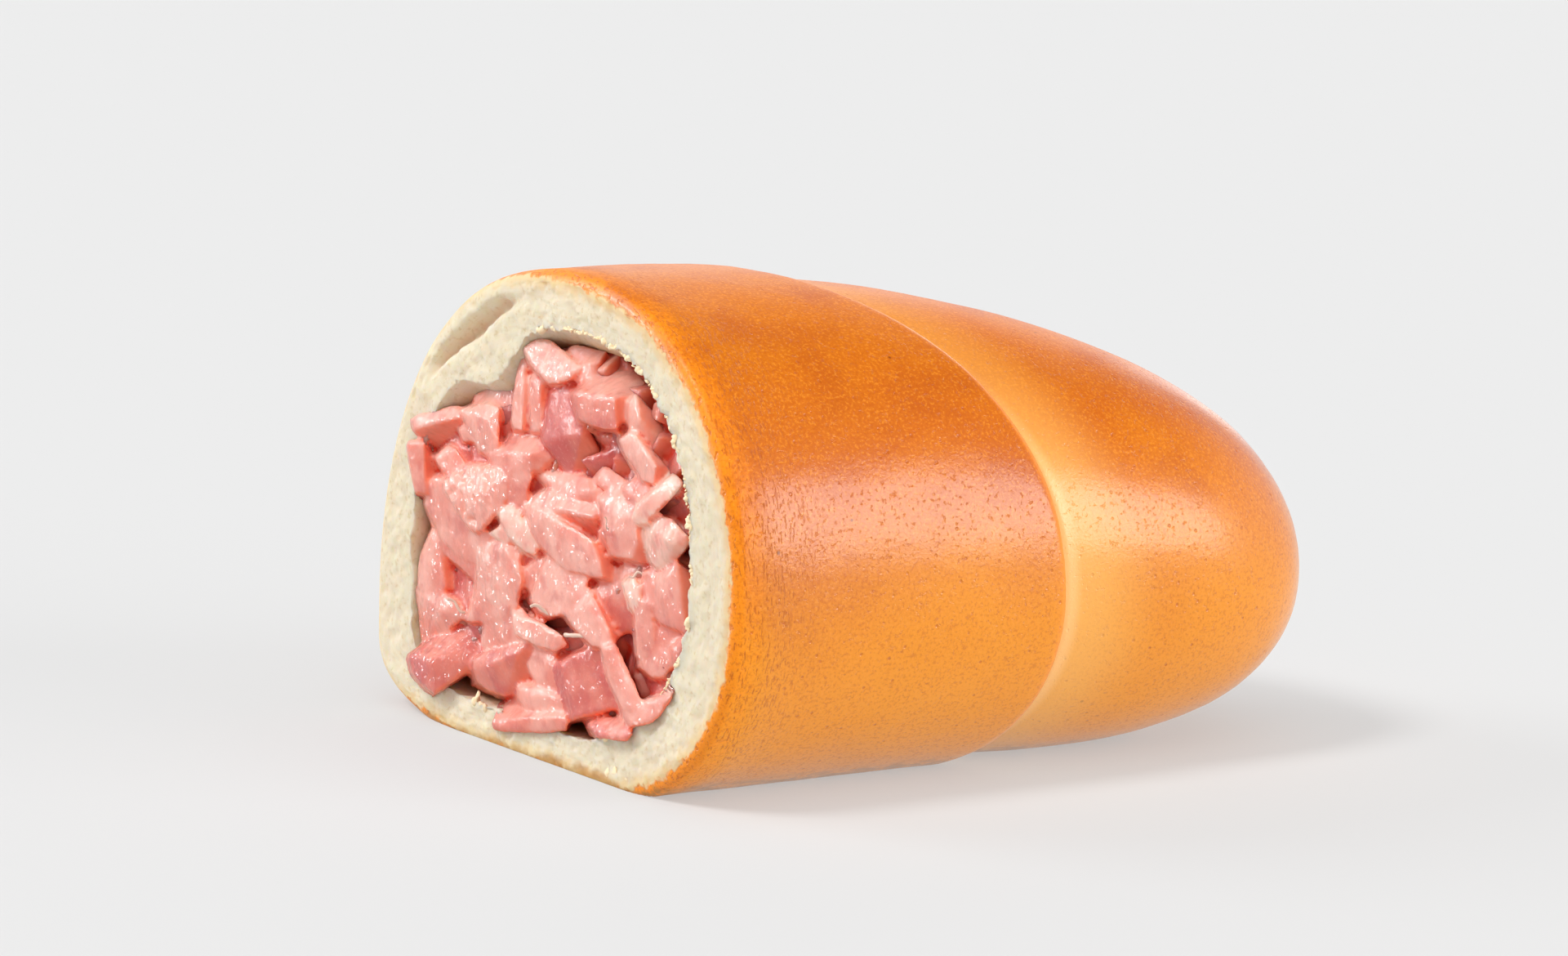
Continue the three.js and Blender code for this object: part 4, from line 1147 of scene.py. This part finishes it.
def bread_shell():
    """The dough: crust outside, cut face with its pocket, and the wall of the hollow."""

    def rim(angle):
        return crust_point(RIM_X, angle, WRAP_LIFT)

    quarters = [rim((q + np.linspace(0, 1, RIM_SAMPLES)) * math.pi / 2) for q in range(4)]
    lengths = [np.linalg.norm(np.diff(q, axis=0), axis=1).sum() for q in quarters]
    counts = [round(ROLL_SIDES * length / sum(lengths)) for length in lengths]
    angle = even_angles(rim, counts)
    inner = even_angles(lambda a: hollow_point(0.0, a), counts)
    seam = seam_x(angle)
    outer = crust_point(0.0, angle, WRAP_LIFT - RIM_ROUND)
    edge = hollow_point(0.0, inner)
    wall = np.linalg.norm(edge - outer, axis=1)
    rows = []

    def add_row(points, rim, hollow=AWAY, seam_distance=AWAY):
        """Adds a row of points, with how far each is from the rim, the hollow and the seam."""
        distances = [np.broadcast_to(far, angle.shape) for far in (rim, hollow, seam_distance)]
        rows.append((points, *distances))

    foot = seam + SEAM_WIDTH
    for i in range(1, TIP_ROWS):
        share = (i / TIP_ROWS) ** TIP_CROWDING
        x = ROLL_LENGTH - (ROLL_LENGTH - foot) * share
        lift = -SEAM_DROP * np.exp((foot - x) / SEAM_FADE) * share
        add_row(crust_point(x, angle, lift), -x, AWAY, x - seam)
    for past, lift in SEAM_PROFILE:
        add_row(crust_point(seam + past, angle, lift), -(seam + past), AWAY, past)
    last_past = SEAM_PROFILE[-1][0]
    for i in range(1, WRAP_ROWS + 1):
        x = mix(seam + last_past, RIM_X, i / WRAP_ROWS)
        add_row(crust_point(x, angle, WRAP_LIFT), -x, AWAY, x - seam)
    for i in range(1, RIM_ROWS + 1):
        turn = math.pi / 2.0 * i / RIM_ROWS
        x = RIM_ROUND * (1.0 - math.sin(turn))
        lift = WRAP_LIFT - RIM_ROUND * (1.0 - math.cos(turn))
        add_row(crust_point(x, angle, lift), -RIM_X * (1.0 - i / RIM_ROWS))
    for i in range(1, FACE_ROWS + 1):
        share = i / FACE_ROWS
        points = mix(outer, edge, share)
        points[:, 0] = POCKET_SHOWN * pocket_depth(angle) * between(share, *POCKET_SIDES)
        add_row(points, share * wall, (share - 1.0) * wall)
    for x in HOLLOW_STATIONS:
        add_row(hollow_point(x, inner), wall + x, x)

    grid, from_rim, from_hollow, from_seam = (np.stack(kind) for kind in zip(*rows))
    grid = grid + grid_normals(grid) * bread_relief(grid, from_rim, from_hollow)[..., None]
    roof = between(np.degrees(inner), *LIP_TURNS)
    grid[..., 2] -= LIP_SLOPE * roof * between(from_hollow, *LIP_REACH)
    grid = torn_edge(grid, from_hollow, edge, angle)
    grid[..., 2] = np.maximum(grid[..., 2], 0.0)
    # On the far side the crumb reaches the outline, and the pocket takes the hollow wall's moist
    # colour and painted shade.
    from_rim = from_rim + BARE_CRUMB * between(np.degrees(angle), *BARE_TURNS)
    moist_and_shade = np.maximum(from_hollow, POCKET_MOIST_SHADE * grid[..., 0])
    from_hollow = np.where(from_rim > 0.0, moist_and_shade, from_hollow)
    first = (ROLL_LENGTH, TIP_BEND, TIP_HEIGHT)
    last = (HOLLOW_LENGTH, bend_at(HOLLOW_LENGTH), TIP_HEIGHT)
    distances = {"from_rim": from_rim, "from_hollow": from_hollow, "from_seam": from_seam}
    return Shell(first, grid, last, **distances)


def bread_relief(grid, from_rim, from_hollow):
    """Heights over the plain form: slow swells on the crust, pores and strands in the crumb."""
    height = np.zeros(from_rim.shape)
    crust = from_rim[:, 0] < 0.0
    wall = from_hollow[:, 0] > 0.0
    face = (from_rim[:, 0] > 0.0) & ~wall
    for part, kind in ((crust, CRUST_RELIEF), (face, CRUMB_RELIEF), (wall, WALL_RELIEF)):
        height[part] = relief(grid[part], kind)
    height[crust] *= smooth(-from_rim[crust], 0.0, RIM_PLAIN)
    return height


def torn_edge(grid, from_hollow, edge, angle):
    """Tears the crumb where the cut face meets the hollow: most on the near side."""
    along = np.roll(edge, -1, axis=0) - np.roll(edge, 1, axis=0)
    along /= np.linalg.norm(along, axis=1, keepdims=True)
    inward = np.stack([np.zeros(len(edge)), along[:, 2], -along[:, 1]], axis=1)
    turn = (np.degrees(angle) + 180.0) % 360.0 - 180.0
    strong = 1.0 - smooth(np.abs(turn - TEAR_TURN), *TEAR_FADE)
    size = relief(edge, TORN_RELIEF) * (TEAR_LEAST + TEAR_MORE * strong)
    return grid + (between(from_hollow, *TEAR_REACH) * size)[..., None] * inward


class RollFinish(bpy.types.PropertyGroup):
    """Colours of the bread and the ham."""

    __annotations__ = {
        key: FloatVectorProperty(
            name=label,
            description=f"Colour of {what}",
            subtype="COLOR",
            size=4,
            min=0.0,
            max=1.0,
            default=linear(hex_colour),
        )
        for key, label, what, hex_colour in FINISHES
    }


class RollSizes(bpy.types.PropertyGroup):
    """Sizes of the filling and of the camera's lens."""

    ham_mesh: FloatProperty(
        name="Ham mesh",
        description="Space between the points of a piece of ham",
        subtype="DISTANCE",
        unit="LENGTH",
        default=HAM_MESH * MM,
        min=0.0002,
    )
    seed: IntProperty(
        name="Seed",
        description="Seed of the uneven outlines of the ham",
        default=SEED,
        min=1,
    )
    lens: FloatProperty(
        name="Lens",
        description="Focal length of the camera in millimetres",
        default=LENS,
        min=10.0,
    )


def finish_colours(context):
    """The finish colours by name, as plain tuples."""
    group = context.scene.ham_roll_finish
    return {key: tuple(getattr(group, key)) for key in RollFinish.__annotations__}


class HAMROLL_OT_bread(bpy.types.Operator):
    """Make the bread round the filling"""

    bl_idname = "ham_roll.bread"
    bl_label = "Bread"

    def execute(self, context):
        piece = make_object("milk_bread", bread_shell(), bread_material(finish_colours(context)))
        normals = np.empty(3 * len(piece.data.vertices))
        piece.data.vertex_normals.foreach_get("vector", normals)
        store(piece.data, "faces_up", normals[2::3])
        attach(piece, "root")
        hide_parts("bread_roll")
        return {"FINISHED"}


def make_draw(seed):
    """The same numbers between 0 and 1 each time."""
    state = seed

    def draw():
        nonlocal state
        state = (state * DRAW_FACTOR) % DRAW_RANGE
        return state / DRAW_RANGE

    return draw


def shown_hulls():
    """Corners of the pieces that show, each with a copy of them further from the camera."""
    hulls = []
    for piece in SHOWN_PIECES:
        places = [sight_point(*corner) for corner in piece[-1]]
        middle = sum(places, Vector()) / len(places)
        for across, down, depth in piece[-1]:
            behind = sight_point(across, down, depth + PIECE_DEPTH) - middle
            places.append(middle + behind * Vector((1.0, FLARE, FLARE)))
        hulls.append(places)
    return hulls


def filler_hulls(draw):
    """Corners of further pieces behind those that show, in a sunflower pattern over the cut."""
    corners = [Vector(signs) * FILLER_SHAPE for signs in itertools.product((-1, 1), repeat=3)]
    hulls = []
    for i in range(FILLER_COUNT):
        share = draw()
        size = mix(FILLER_LARGEST, FILLER_SMALLEST, share)
        out = FILLER_REACH * math.sqrt((i + 0.5) / FILLER_COUNT)
        angle = np.array([math.radians(i * SUNFLOWER_TURN) % FULL_TURN])
        rim = core_rim(CORE_FRONT, angle)[0]
        front = mix(*FILLER_DEPTH, share) + FILLER_UNEVEN_DEPTH * draw()
        centre = Vector((front + size / 2, mix(CORE_Y, rim[1], out), mix(CORE_Z, rim[2], out)))
        turn = Euler([FILLER_TILT * (draw() - 0.5) for _ in range(3)]).to_matrix()
        hull = []
        for corner in corners:
            reach = FILLER_CORNER + FILLER_UNEVEN_CORNER * draw()
            hull.append(centre + turn @ (corner * size * reach))
        hulls.append(hull)
    return hulls


def hull_faces(hulls):
    """Points and faces of the hull of each set of corners, and the set that each face is of."""
    points, faces, owners = [], [], []
    for owner, corners in enumerate(hulls):
        work = bmesh.new()
        for corner in corners:
            work.verts.new(corner)
        bmesh.ops.convex_hull(work, input=work.verts)
        unused = [vert for vert in work.verts if not vert.link_faces]
        bmesh.ops.delete(work, geom=unused, context="VERTS")
        work.verts.index_update()
        faces += [[len(points) + vert.index for vert in face.verts] for face in work.faces]
        points += [vert.co.copy() for vert in work.verts]
        owners += [owner] * len(work.faces)
        work.free()
    return points, faces, owners


def one_skin(points, faces, space):
    """One skin round overlapping solids: its points, their normals and its quads."""
    mesh = bpy.data.meshes.new("solids")
    mesh.from_pydata(points, [], faces)
    solids = linked("solids", mesh)
    remesh = solids.modifiers.new("one_skin", "REMESH")
    remesh.mode = "VOXEL"
    remesh.voxel_size = space
    bpy.context.view_layer.update()
    done = solids.evaluated_get(bpy.context.evaluated_depsgraph_get())
    skin = bpy.data.meshes.new_from_object(done)
    places = np.empty(len(skin.vertices) * 3)
    skin.vertices.foreach_get("co", places)
    normals = np.empty(len(skin.vertices) * 3)
    skin.vertices.foreach_get("normal", normals)
    quads = np.empty(len(skin.loops), dtype=np.int64)
    skin.loops.foreach_get("vertex_index", quads)
    bpy.data.objects.remove(solids)
    bpy.data.meshes.remove(mesh)
    bpy.data.meshes.remove(skin)
    return places.reshape(-1, 3), normals.reshape(-1, 3), quads.reshape(-1, 4)


def beside(values, quads):
    """The mean of the values at the points next to each point."""
    total = np.zeros_like(values)
    count = np.zeros(len(values))
    for side in range(4):
        a, b = quads[:, side], quads[:, (side + 1) % 4]
        np.add.at(total, a, values[b])
        np.add.at(total, b, values[a])
        np.add.at(count, a, 1)
        np.add.at(count, b, 1)
    return (total.T / np.maximum(count, 1)).T


def ham_skin(hulls, finishes, space):
    """Pieces of ham stuck together as they lie: flat cut faces, ragged edges, a fine fibre."""
    points, faces, owners = hull_faces(hulls)
    tree = BVHTree.FromPolygons(points, faces)
    places, normals, quads = one_skin(points, faces, space)
    nearest = [owners[tree.find_nearest(place)[2]] for place in places.tolist()]
    tone, fat, wet = np.array(finishes, float)[nearest].T
    stands_out = ((places - beside(places, quads)) * normals).sum(axis=1) / space
    edge = smooth(stands_out, *EDGE_BAND)
    crease = smooth(-stands_out, *CREASE_BAND)
    # Faces to the near side and faces turned down get the side colour: painted shade on the sides
    # away from the light.
    near = np.clip(-normals[:, 1] * NEAR_SIDE_SHADE, 0.0, 1.0)
    side = np.clip(near + np.clip(-normals[:, 2], 0.0, 1.0), 0.0, 1.0)
    up = np.clip(normals[:, 2], 0.0, 1.0)
    # Top faces are painted paler as painted light, and standing edges as painted highlight.
    tone = tone + PAINTED_LIGHT_UP * up + PAINTED_HIGHLIGHT_EDGE * edge
    ridges = FOLD_TOP - FOLD_STEEP * relief(places, FOLD_RELIEF) ** 2
    folds = smooth(wet, *FOLD_WETNESS) * FOLD_HEIGHT * ridges
    height = relief(places, MEAT_RELIEF) + edge * (relief(places, RAGGED_RELIEF) + FRAYED)
    places = places + normals * ((height + folds) * (1.0 - crease))[:, None]
    for _ in range(SMOOTHING_ROUNDS):
        share = SMOOTHING + CREASE_SMOOTHING * crease[:, None]
        places = mix(places, beside(places, quads), share)
    crease = np.maximum(crease, CREASE_SPREAD * beside(crease, quads))
    # Creases count deeper and top faces shallower, so the gap colour paints shade in the creases
    # and less on the tops.
    depth = places[:, 0] + CREASE_SHADE_DEPTH * crease - UP_SHADE_LESS * up
    return Skin(places, quads, tone=tone, fat=fat, wet=wet, side=side, depth=depth)


def core_skin():
    """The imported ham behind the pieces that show, a little smaller than the hollow."""
    angle = np.linspace(0.0, FULL_TURN, CORE_SIDES, endpoint=False)
    middle = np.array([CORE_FRONT, CORE_Y, CORE_Z])
    rows = [mix(middle, core_rim(CORE_FRONT, angle), share) for share in CORE_FACE_ROWS]
    rows += [core_rim(x, angle) for x in CORE_ROWS]
    grid = np.stack(rows[::-1])
    grid = grid + grid_normals(grid) * relief(grid, CORE_RELIEF)[..., None]
    return Shell((CORE_END, bend_at(CORE_END), TIP_HEIGHT), grid, middle, **CORE_SHADE_LOOK)


class HollowWall:
    """The hollow's radius at each depth and turn, for keeping the ham inside the dough."""

    def __init__(self):
        self.turns = np.linspace(-math.pi, math.pi, WALL_TURNS)
        angle = np.linspace(0.0, FULL_TURN, RING_SAMPLES, endpoint=False)
        radii = []
        for x in np.linspace(0.0, WALL_END, WALL_STEPS):
            across = hollow_point(x, angle)[:, 1:] - self.middle(x)
            turn = np.arctan2(across[:, 1], across[:, 0])
            order = np.argsort(turn)
            length = np.linalg.norm(across, axis=1)
            radii.append(np.interp(self.turns, turn[order], length[order], period=FULL_TURN))
        self.radii = np.array(radii)

    @staticmethod
    def middle(x):
        """y, z of a point well inside the hollow at a depth."""
        share = np.clip(np.asarray(x, float) / HOLLOW_LENGTH, 0.0, 1.0)
        y = bend_at(x) + WALL_MIDDLE[0] * (1.0 - share)
        return np.stack([y, mix(WALL_MIDDLE[1], TIP_HEIGHT, share)], axis=-1)

    def radius(self, x, turn):
        step = np.clip(x / WALL_END, 0.0, 1.0) * (WALL_STEPS - 1)
        low = np.minimum(step.astype(int), WALL_STEPS - 2)
        column = (turn + math.pi) / FULL_TURN * (WALL_TURNS - 1)
        column = np.clip(np.round(column).astype(int), 0, WALL_TURNS - 1)
        return mix(self.radii[low, column], self.radii[low + 1, column], step - low)

    def press(self, points, gap):
        """Moves points that would be in the dough into the hollow. Those before the cut stay."""
        x = points[..., 0]
        inside = np.maximum(x, 0.0)
        middle = self.middle(inside)
        across = points[..., 1:] - middle
        length = np.maximum(np.linalg.norm(across, axis=-1), 1e-6)
        room = self.radius(inside, np.arctan2(across[..., 1], across[..., 0])) - gap
        blocked = (length > room) & (x > -gap)
        scale = np.where(blocked, room / length, 1.0)[..., None]
        return np.concatenate([x[..., None], middle + across * scale], axis=-1)


class HAMROLL_OT_ham(bpy.types.Operator):
    """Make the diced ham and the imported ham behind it"""

    bl_idname = "ham_roll.ham"
    bl_label = "Ham"

    def execute(self, context):
        sizes = context.scene.ham_roll_sizes
        material = ham_material(finish_colours(context))
        wall = HollowWall()
        draw = make_draw(sizes.seed)
        space = sizes.ham_mesh / MM
        finishes = [piece[:3] for piece in SHOWN_PIECES]
        shown = ham_skin(shown_hulls(), finishes, space)
        shown.corners = wall.press(shown.corners, SHOWN_GAP)
        tones = [FILLER_TONES * draw() + FILLER_DEEPEST for _ in range(FILLER_COUNT)]
        finishes = [(tone, 0.0, FILLER_WET) for tone in tones]
        filler = ham_skin(filler_hulls(draw), finishes, FILLER_MESH * space)
        filler.corners = wall.press(filler.corners, FILLER_GAP)
        for name, skin in (
            ("ham_dice", shown),
            ("ham_dice_behind", filler),
            ("ham_core", core_skin()),
        ):
            piece = make_object(name, skin, material)
            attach(piece, "root")
            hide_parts("ham_filling")
        return {"FINISHED"}


def crumb_shape(tree):
    """A little ball."""
    inputs = {"Radius": 1.0, "Subdivisions": 2}
    return add(tree, "GeometryNodeMeshIcoSphere", {}, inputs)


def shred_shape(tree):
    """A thin bent strand."""
    inputs = {"Resolution": 14, **SHRED_BEND}
    line = add(tree, "GeometryNodeCurvePrimitiveBezierSegment", {"mode": "POSITION"}, inputs)
    inputs = {"Resolution": 8, "Radius": SHRED_THICKNESS}
    ring = add(tree, "GeometryNodeCurvePrimitiveCircle", {}, inputs)
    inputs = {"Curve": line, "Profile Curve": ring, "Fill Caps": True}
    return add(tree, "GeometryNodeCurveToMesh", {}, inputs)


def scatter_tree(name, add_shape, material):
    """Geometry nodes that set a ragged little piece, turned at random, on points of given sizes."""
    tree = bpy.data.node_groups.new(name, "GeometryNodeTree")
    for label, way, kind in SCATTER_SOCKETS:
        tree.interface.new_socket(label, in_out=way, socket_type=f"NodeSocket{kind}")
    given = add(tree, "NodeGroupInput").node.outputs
    seed = {8: given["Seed"]}
    picked, turn, uneven = (
        add(tree, "FunctionNodeRandomValue", {"data_type": kind}, {**seed, **inputs}, out)
        for kind, inputs, out in (
            ("BOOLEAN", {6: given["Share"]}, 3),
            ("FLOAT_VECTOR", {1: (FULL_TURN,) * 3}, 0),
            ("FLOAT_VECTOR", {0: (SCATTER_LEAST,) * 3, 1: (SCATTER_MOST,) * 3}, 0),
        )
    )
    size = {"Name": "size"}
    size = add(tree, "GeometryNodeInputNamedAttribute", {"data_type": "FLOAT"}, size)
    scale = {0: uneven, "Scale": size}
    inputs = {
        "Points": given["Points"],
        "Selection": picked,
        "Instance": add_shape(tree),
        "Rotation": turn,
        "Scale": add(tree, "ShaderNodeVectorMath", {"operation": "SCALE"}, scale),
    }
    pieces = add(tree, "GeometryNodeInstanceOnPoints", {}, inputs)
    pieces = add(tree, "GeometryNodeRealizeInstances", {}, {"Geometry": pieces})
    scale = {0: 1.0, 1: given["Lump size"]}
    scale = add(tree, "ShaderNodeMath", {"operation": "DIVIDE"}, scale)
    place = add(tree, "GeometryNodeInputPosition")
    inputs = {"Vector": place, "Scale": scale, "Detail": 2.0}
    lump = add(tree, "ShaderNodeTexNoise", {}, inputs, out=1)
    lump = add(tree, "ShaderNodeVectorMath", {"operation": "SUBTRACT"}, {0: lump, 1: (0.5,) * 3})
    inputs = {0: lump, "Scale": given["Lump height"]}
    lump = add(tree, "ShaderNodeVectorMath", {"operation": "SCALE"}, inputs)
    pieces = add(tree, "GeometryNodeSetPosition", {}, {"Geometry": pieces, "Offset": lump})
    inputs = {"Geometry": pieces, "Material": material}
    pieces = add(tree, "GeometryNodeSetMaterial", {}, inputs)
    add(tree, "NodeGroupOutput", inputs={"Pieces": pieces})
    return tree


def scattered(name, places, sizes, tree, **settings):
    """One mesh object with the tree's pieces on the places."""
    mesh = bpy.data.meshes.new(name)
    mesh.from_pydata(in_part(places), [], [])
    store(mesh, "size", np.array(sizes) * MM)
    piece = linked(name, mesh)
    maker = piece.modifiers.new(name, "NODES")
    maker.node_group = tree
    for item in tree.interface.items_tree:
        if item.name in settings:
            maker[item.identifier] = settings[item.name]
    graph = bpy.context.evaluated_depsgraph_get()
    done = bpy.data.meshes.new_from_object(piece.evaluated_get(graph), depsgraph=graph)
    piece.modifiers.clear()
    piece.data = done
    done.shade_smooth()
    bpy.data.meshes.remove(mesh)
    return piece


class HAMROLL_OT_crumbs(bpy.types.Operator):
    """Make the torn tufts and the loose crumbs"""

    bl_idname = "ham_roll.crumbs"
    bl_label = "Crumbs"

    def execute(self, context):
        turns = np.radians(np.linspace(*TUFT_TURNS, TUFT_COUNT)) % FULL_TURN
        edge = hollow_point(TUFT_DEPTH, turns)
        edge += np.stack([relief(edge, ((*TUFT_STRAY, shift),)) for shift in (1.0, 2.0, 3.0)], 1)
        sizes = TUFT_SIZE * (1.0 + relief(edge, (TUFT_UNEVEN,)))
        loose = [sight_point(*crumb[:3]) for crumb in LOOSE_CRUMBS]
        places = np.concatenate([edge, np.array(loose)])
        places[:, 2] = np.maximum(places[:, 2], CRUMB_CLEARANCE)
        sizes = np.concatenate([sizes, [crumb[3] for crumb in LOOSE_CRUMBS]])
        material = little_material("torn_crumb", finish_colours(context)["crumb_warm"], 0.9)
        tree = scatter_tree("crumbs", crumb_shape, material)
        seed = context.scene.ham_roll_sizes.seed
        piece = scattered("crumbs", places, sizes, tree, Seed=seed, **CRUMB_FORM)
        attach(piece, "root")
        return {"FINISHED"}


class HAMROLL_OT_shreds(bpy.types.Operator):
    """Make the thin shreds of ham that lie on the pieces"""

    bl_idname = "ham_roll.shreds"
    bl_label = "Shreds"

    def execute(self, context):
        places = [sight_point(*shred[:3]) for shred in SHREDS]
        sizes = [shred[3] for shred in SHREDS]
        material = little_material("shredded_cooked_ham", finish_colours(context)["ham_fat"], 0.4)
        tree = scatter_tree("ham_shreds", shred_shape, material)
        seed = context.scene.ham_roll_sizes.seed
        piece = scattered("ham_shreds", places, sizes, tree, Seed=seed, **SHRED_FORM)
        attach(piece, "root")
        return {"FINISHED"}


def add_sun(name, turn, height, energy, angle, without):
    """A sun lamp that shines from a compass turn and a height over the floor."""
    lamp = bpy.data.lights.new(name, "SUN")
    lamp.energy = energy
    lamp.angle = math.radians(angle)
    piece = linked(name, lamp)
    a, e = math.radians(turn), math.radians(height)
    towards = Vector((math.cos(a) * math.cos(e), math.sin(a) * math.cos(e), math.sin(e)))
    piece.rotation_euler = towards.to_track_quat("Z", "Y").to_euler()
    if without:
        setattr(piece, f"visible_{without}", False)


def add_floor():
    """A plain pale floor, far wider than the view."""
    material, tree = new_material("studio_floor")
    glow = {"Color": (1.0, 1.0, 1.0, 1.0), "Strength": FLOOR_GLOW}
    matt = {"Color": (FLOOR_GREY, FLOOR_GREY, FLOOR_GREY, 1.0)}
    both = {
        0: add(tree, "ShaderNodeEmission", {}, glow),
        1: add(tree, "ShaderNodeBsdfDiffuse", {}, matt),
    }
    both = add(tree, "ShaderNodeAddShader", {}, both)
    add(tree, "ShaderNodeOutputMaterial", inputs={"Surface": both})
    mesh = bpy.data.meshes.new("studio_floor")
    low, high = -FLOOR_REACH, FLOOR_REACH
    corners = [(low, low, 0.0), (high, low, 0.0), (high, high, 0.0), (low, high, 0.0)]
    mesh.from_pydata(corners, [], [(0, 1, 2, 3)])
    mesh.materials.append(material)
    linked("studio_floor", mesh)


def studio_light():
    """A grey surround that is bright at the horizon, dark above, and dimmer by the camera."""
    world = bpy.data.worlds.new("studio_light")
    world.use_nodes = True
    tree = world.node_tree
    way = add(tree, "ShaderNodeTexCoord", out="Generated")
    up = add(tree, "ShaderNodeSeparateXYZ", inputs={0: way}, out="Z")
    sky = add(tree, "ShaderNodeValToRGB", inputs={"Fac": up})
    stops = sky.node.color_ramp.elements
    while len(stops) < len(STUDIO_GREYS):
        stops.new(0.5)
    for stop, (place, grey) in zip(stops, STUDIO_GREYS):
        stop.position = place
        stop.color = (grey, grey, grey, 1.0)
    inputs = {0: way, 1: (-math.sin(SIGHT_YAW), -math.cos(SIGHT_YAW), 0.0)}
    towards = add(tree, "ShaderNodeVectorMath", {"operation": "DOT_PRODUCT"}, inputs, out="Value")
    background = tree.nodes["Background"].inputs
    tree.links.new(sky, background["Color"])
    tree.links.new(eased(tree, (towards, *STUDIO_SIDES)), background["Strength"])
    return world


class HAMROLL_OT_stage(bpy.types.Operator):
    """Make the floor, the soft light and the camera"""

    bl_idname = "ham_roll.stage"
    bl_label = "Stage"

    def execute(self, context):
        scene = context.scene
        scene.view_settings.view_transform = "Standard"
        add_floor()
        scene.world = studio_light()
        for lamp in LAMPS:
            add_sun(*lamp)
        data = bpy.data.cameras.new("camera")
        data.lens = scene.ham_roll_sizes.lens
        data.sensor_width = SENSOR
        camera = linked("camera", data)
        place = CAMERA_EYE * MM + OFFSET
        camera.matrix_world = Matrix.Translation(place) @ CAMERA_TURN.to_4x4()
        scene.camera = camera
        return {"FINISHED"}


class HAMROLL_PT_panel(bpy.types.Panel):
    """Lists the roll's pieces, colours and sizes"""

    bl_idname = "HAMROLL_PT_panel"
    bl_label = "Ham-filled roll"
    bl_space_type = "VIEW_3D"
    bl_region_type = "UI"
    bl_category = "Ham roll"

    def draw(self, context):
        layout = self.layout
        for operator in OPERATORS:
            layout.operator(operator.bl_idname)
        for group in (context.scene.ham_roll_finish, context.scene.ham_roll_sizes):
            for key in type(group).__annotations__:
                layout.prop(group, key)


OPERATORS = (
    HAMROLL_OT_bread,
    HAMROLL_OT_ham,
    HAMROLL_OT_crumbs,
    HAMROLL_OT_shreds,
    HAMROLL_OT_stage,
)
CLASSES = (RollFinish, RollSizes, *OPERATORS, HAMROLL_PT_panel)


def register():
    for kind in CLASSES:
        bpy.utils.register_class(kind)
    bpy.types.Scene.ham_roll_finish = PointerProperty(type=RollFinish)
    bpy.types.Scene.ham_roll_sizes = PointerProperty(type=RollSizes)


def unregister():
    del bpy.types.Scene.ham_roll_sizes
    del bpy.types.Scene.ham_roll_finish
    for kind in reversed(CLASSES):
        bpy.utils.unregister_class(kind)


def main():
    """Makes the scene."""
    register()
    bpy.ops.ham_roll.bread()
    bpy.ops.ham_roll.ham()
    bpy.ops.ham_roll.crumbs()
    bpy.ops.ham_roll.shreds()
    bpy.ops.ham_roll.stage()


if __name__ == "__main__":
    main()
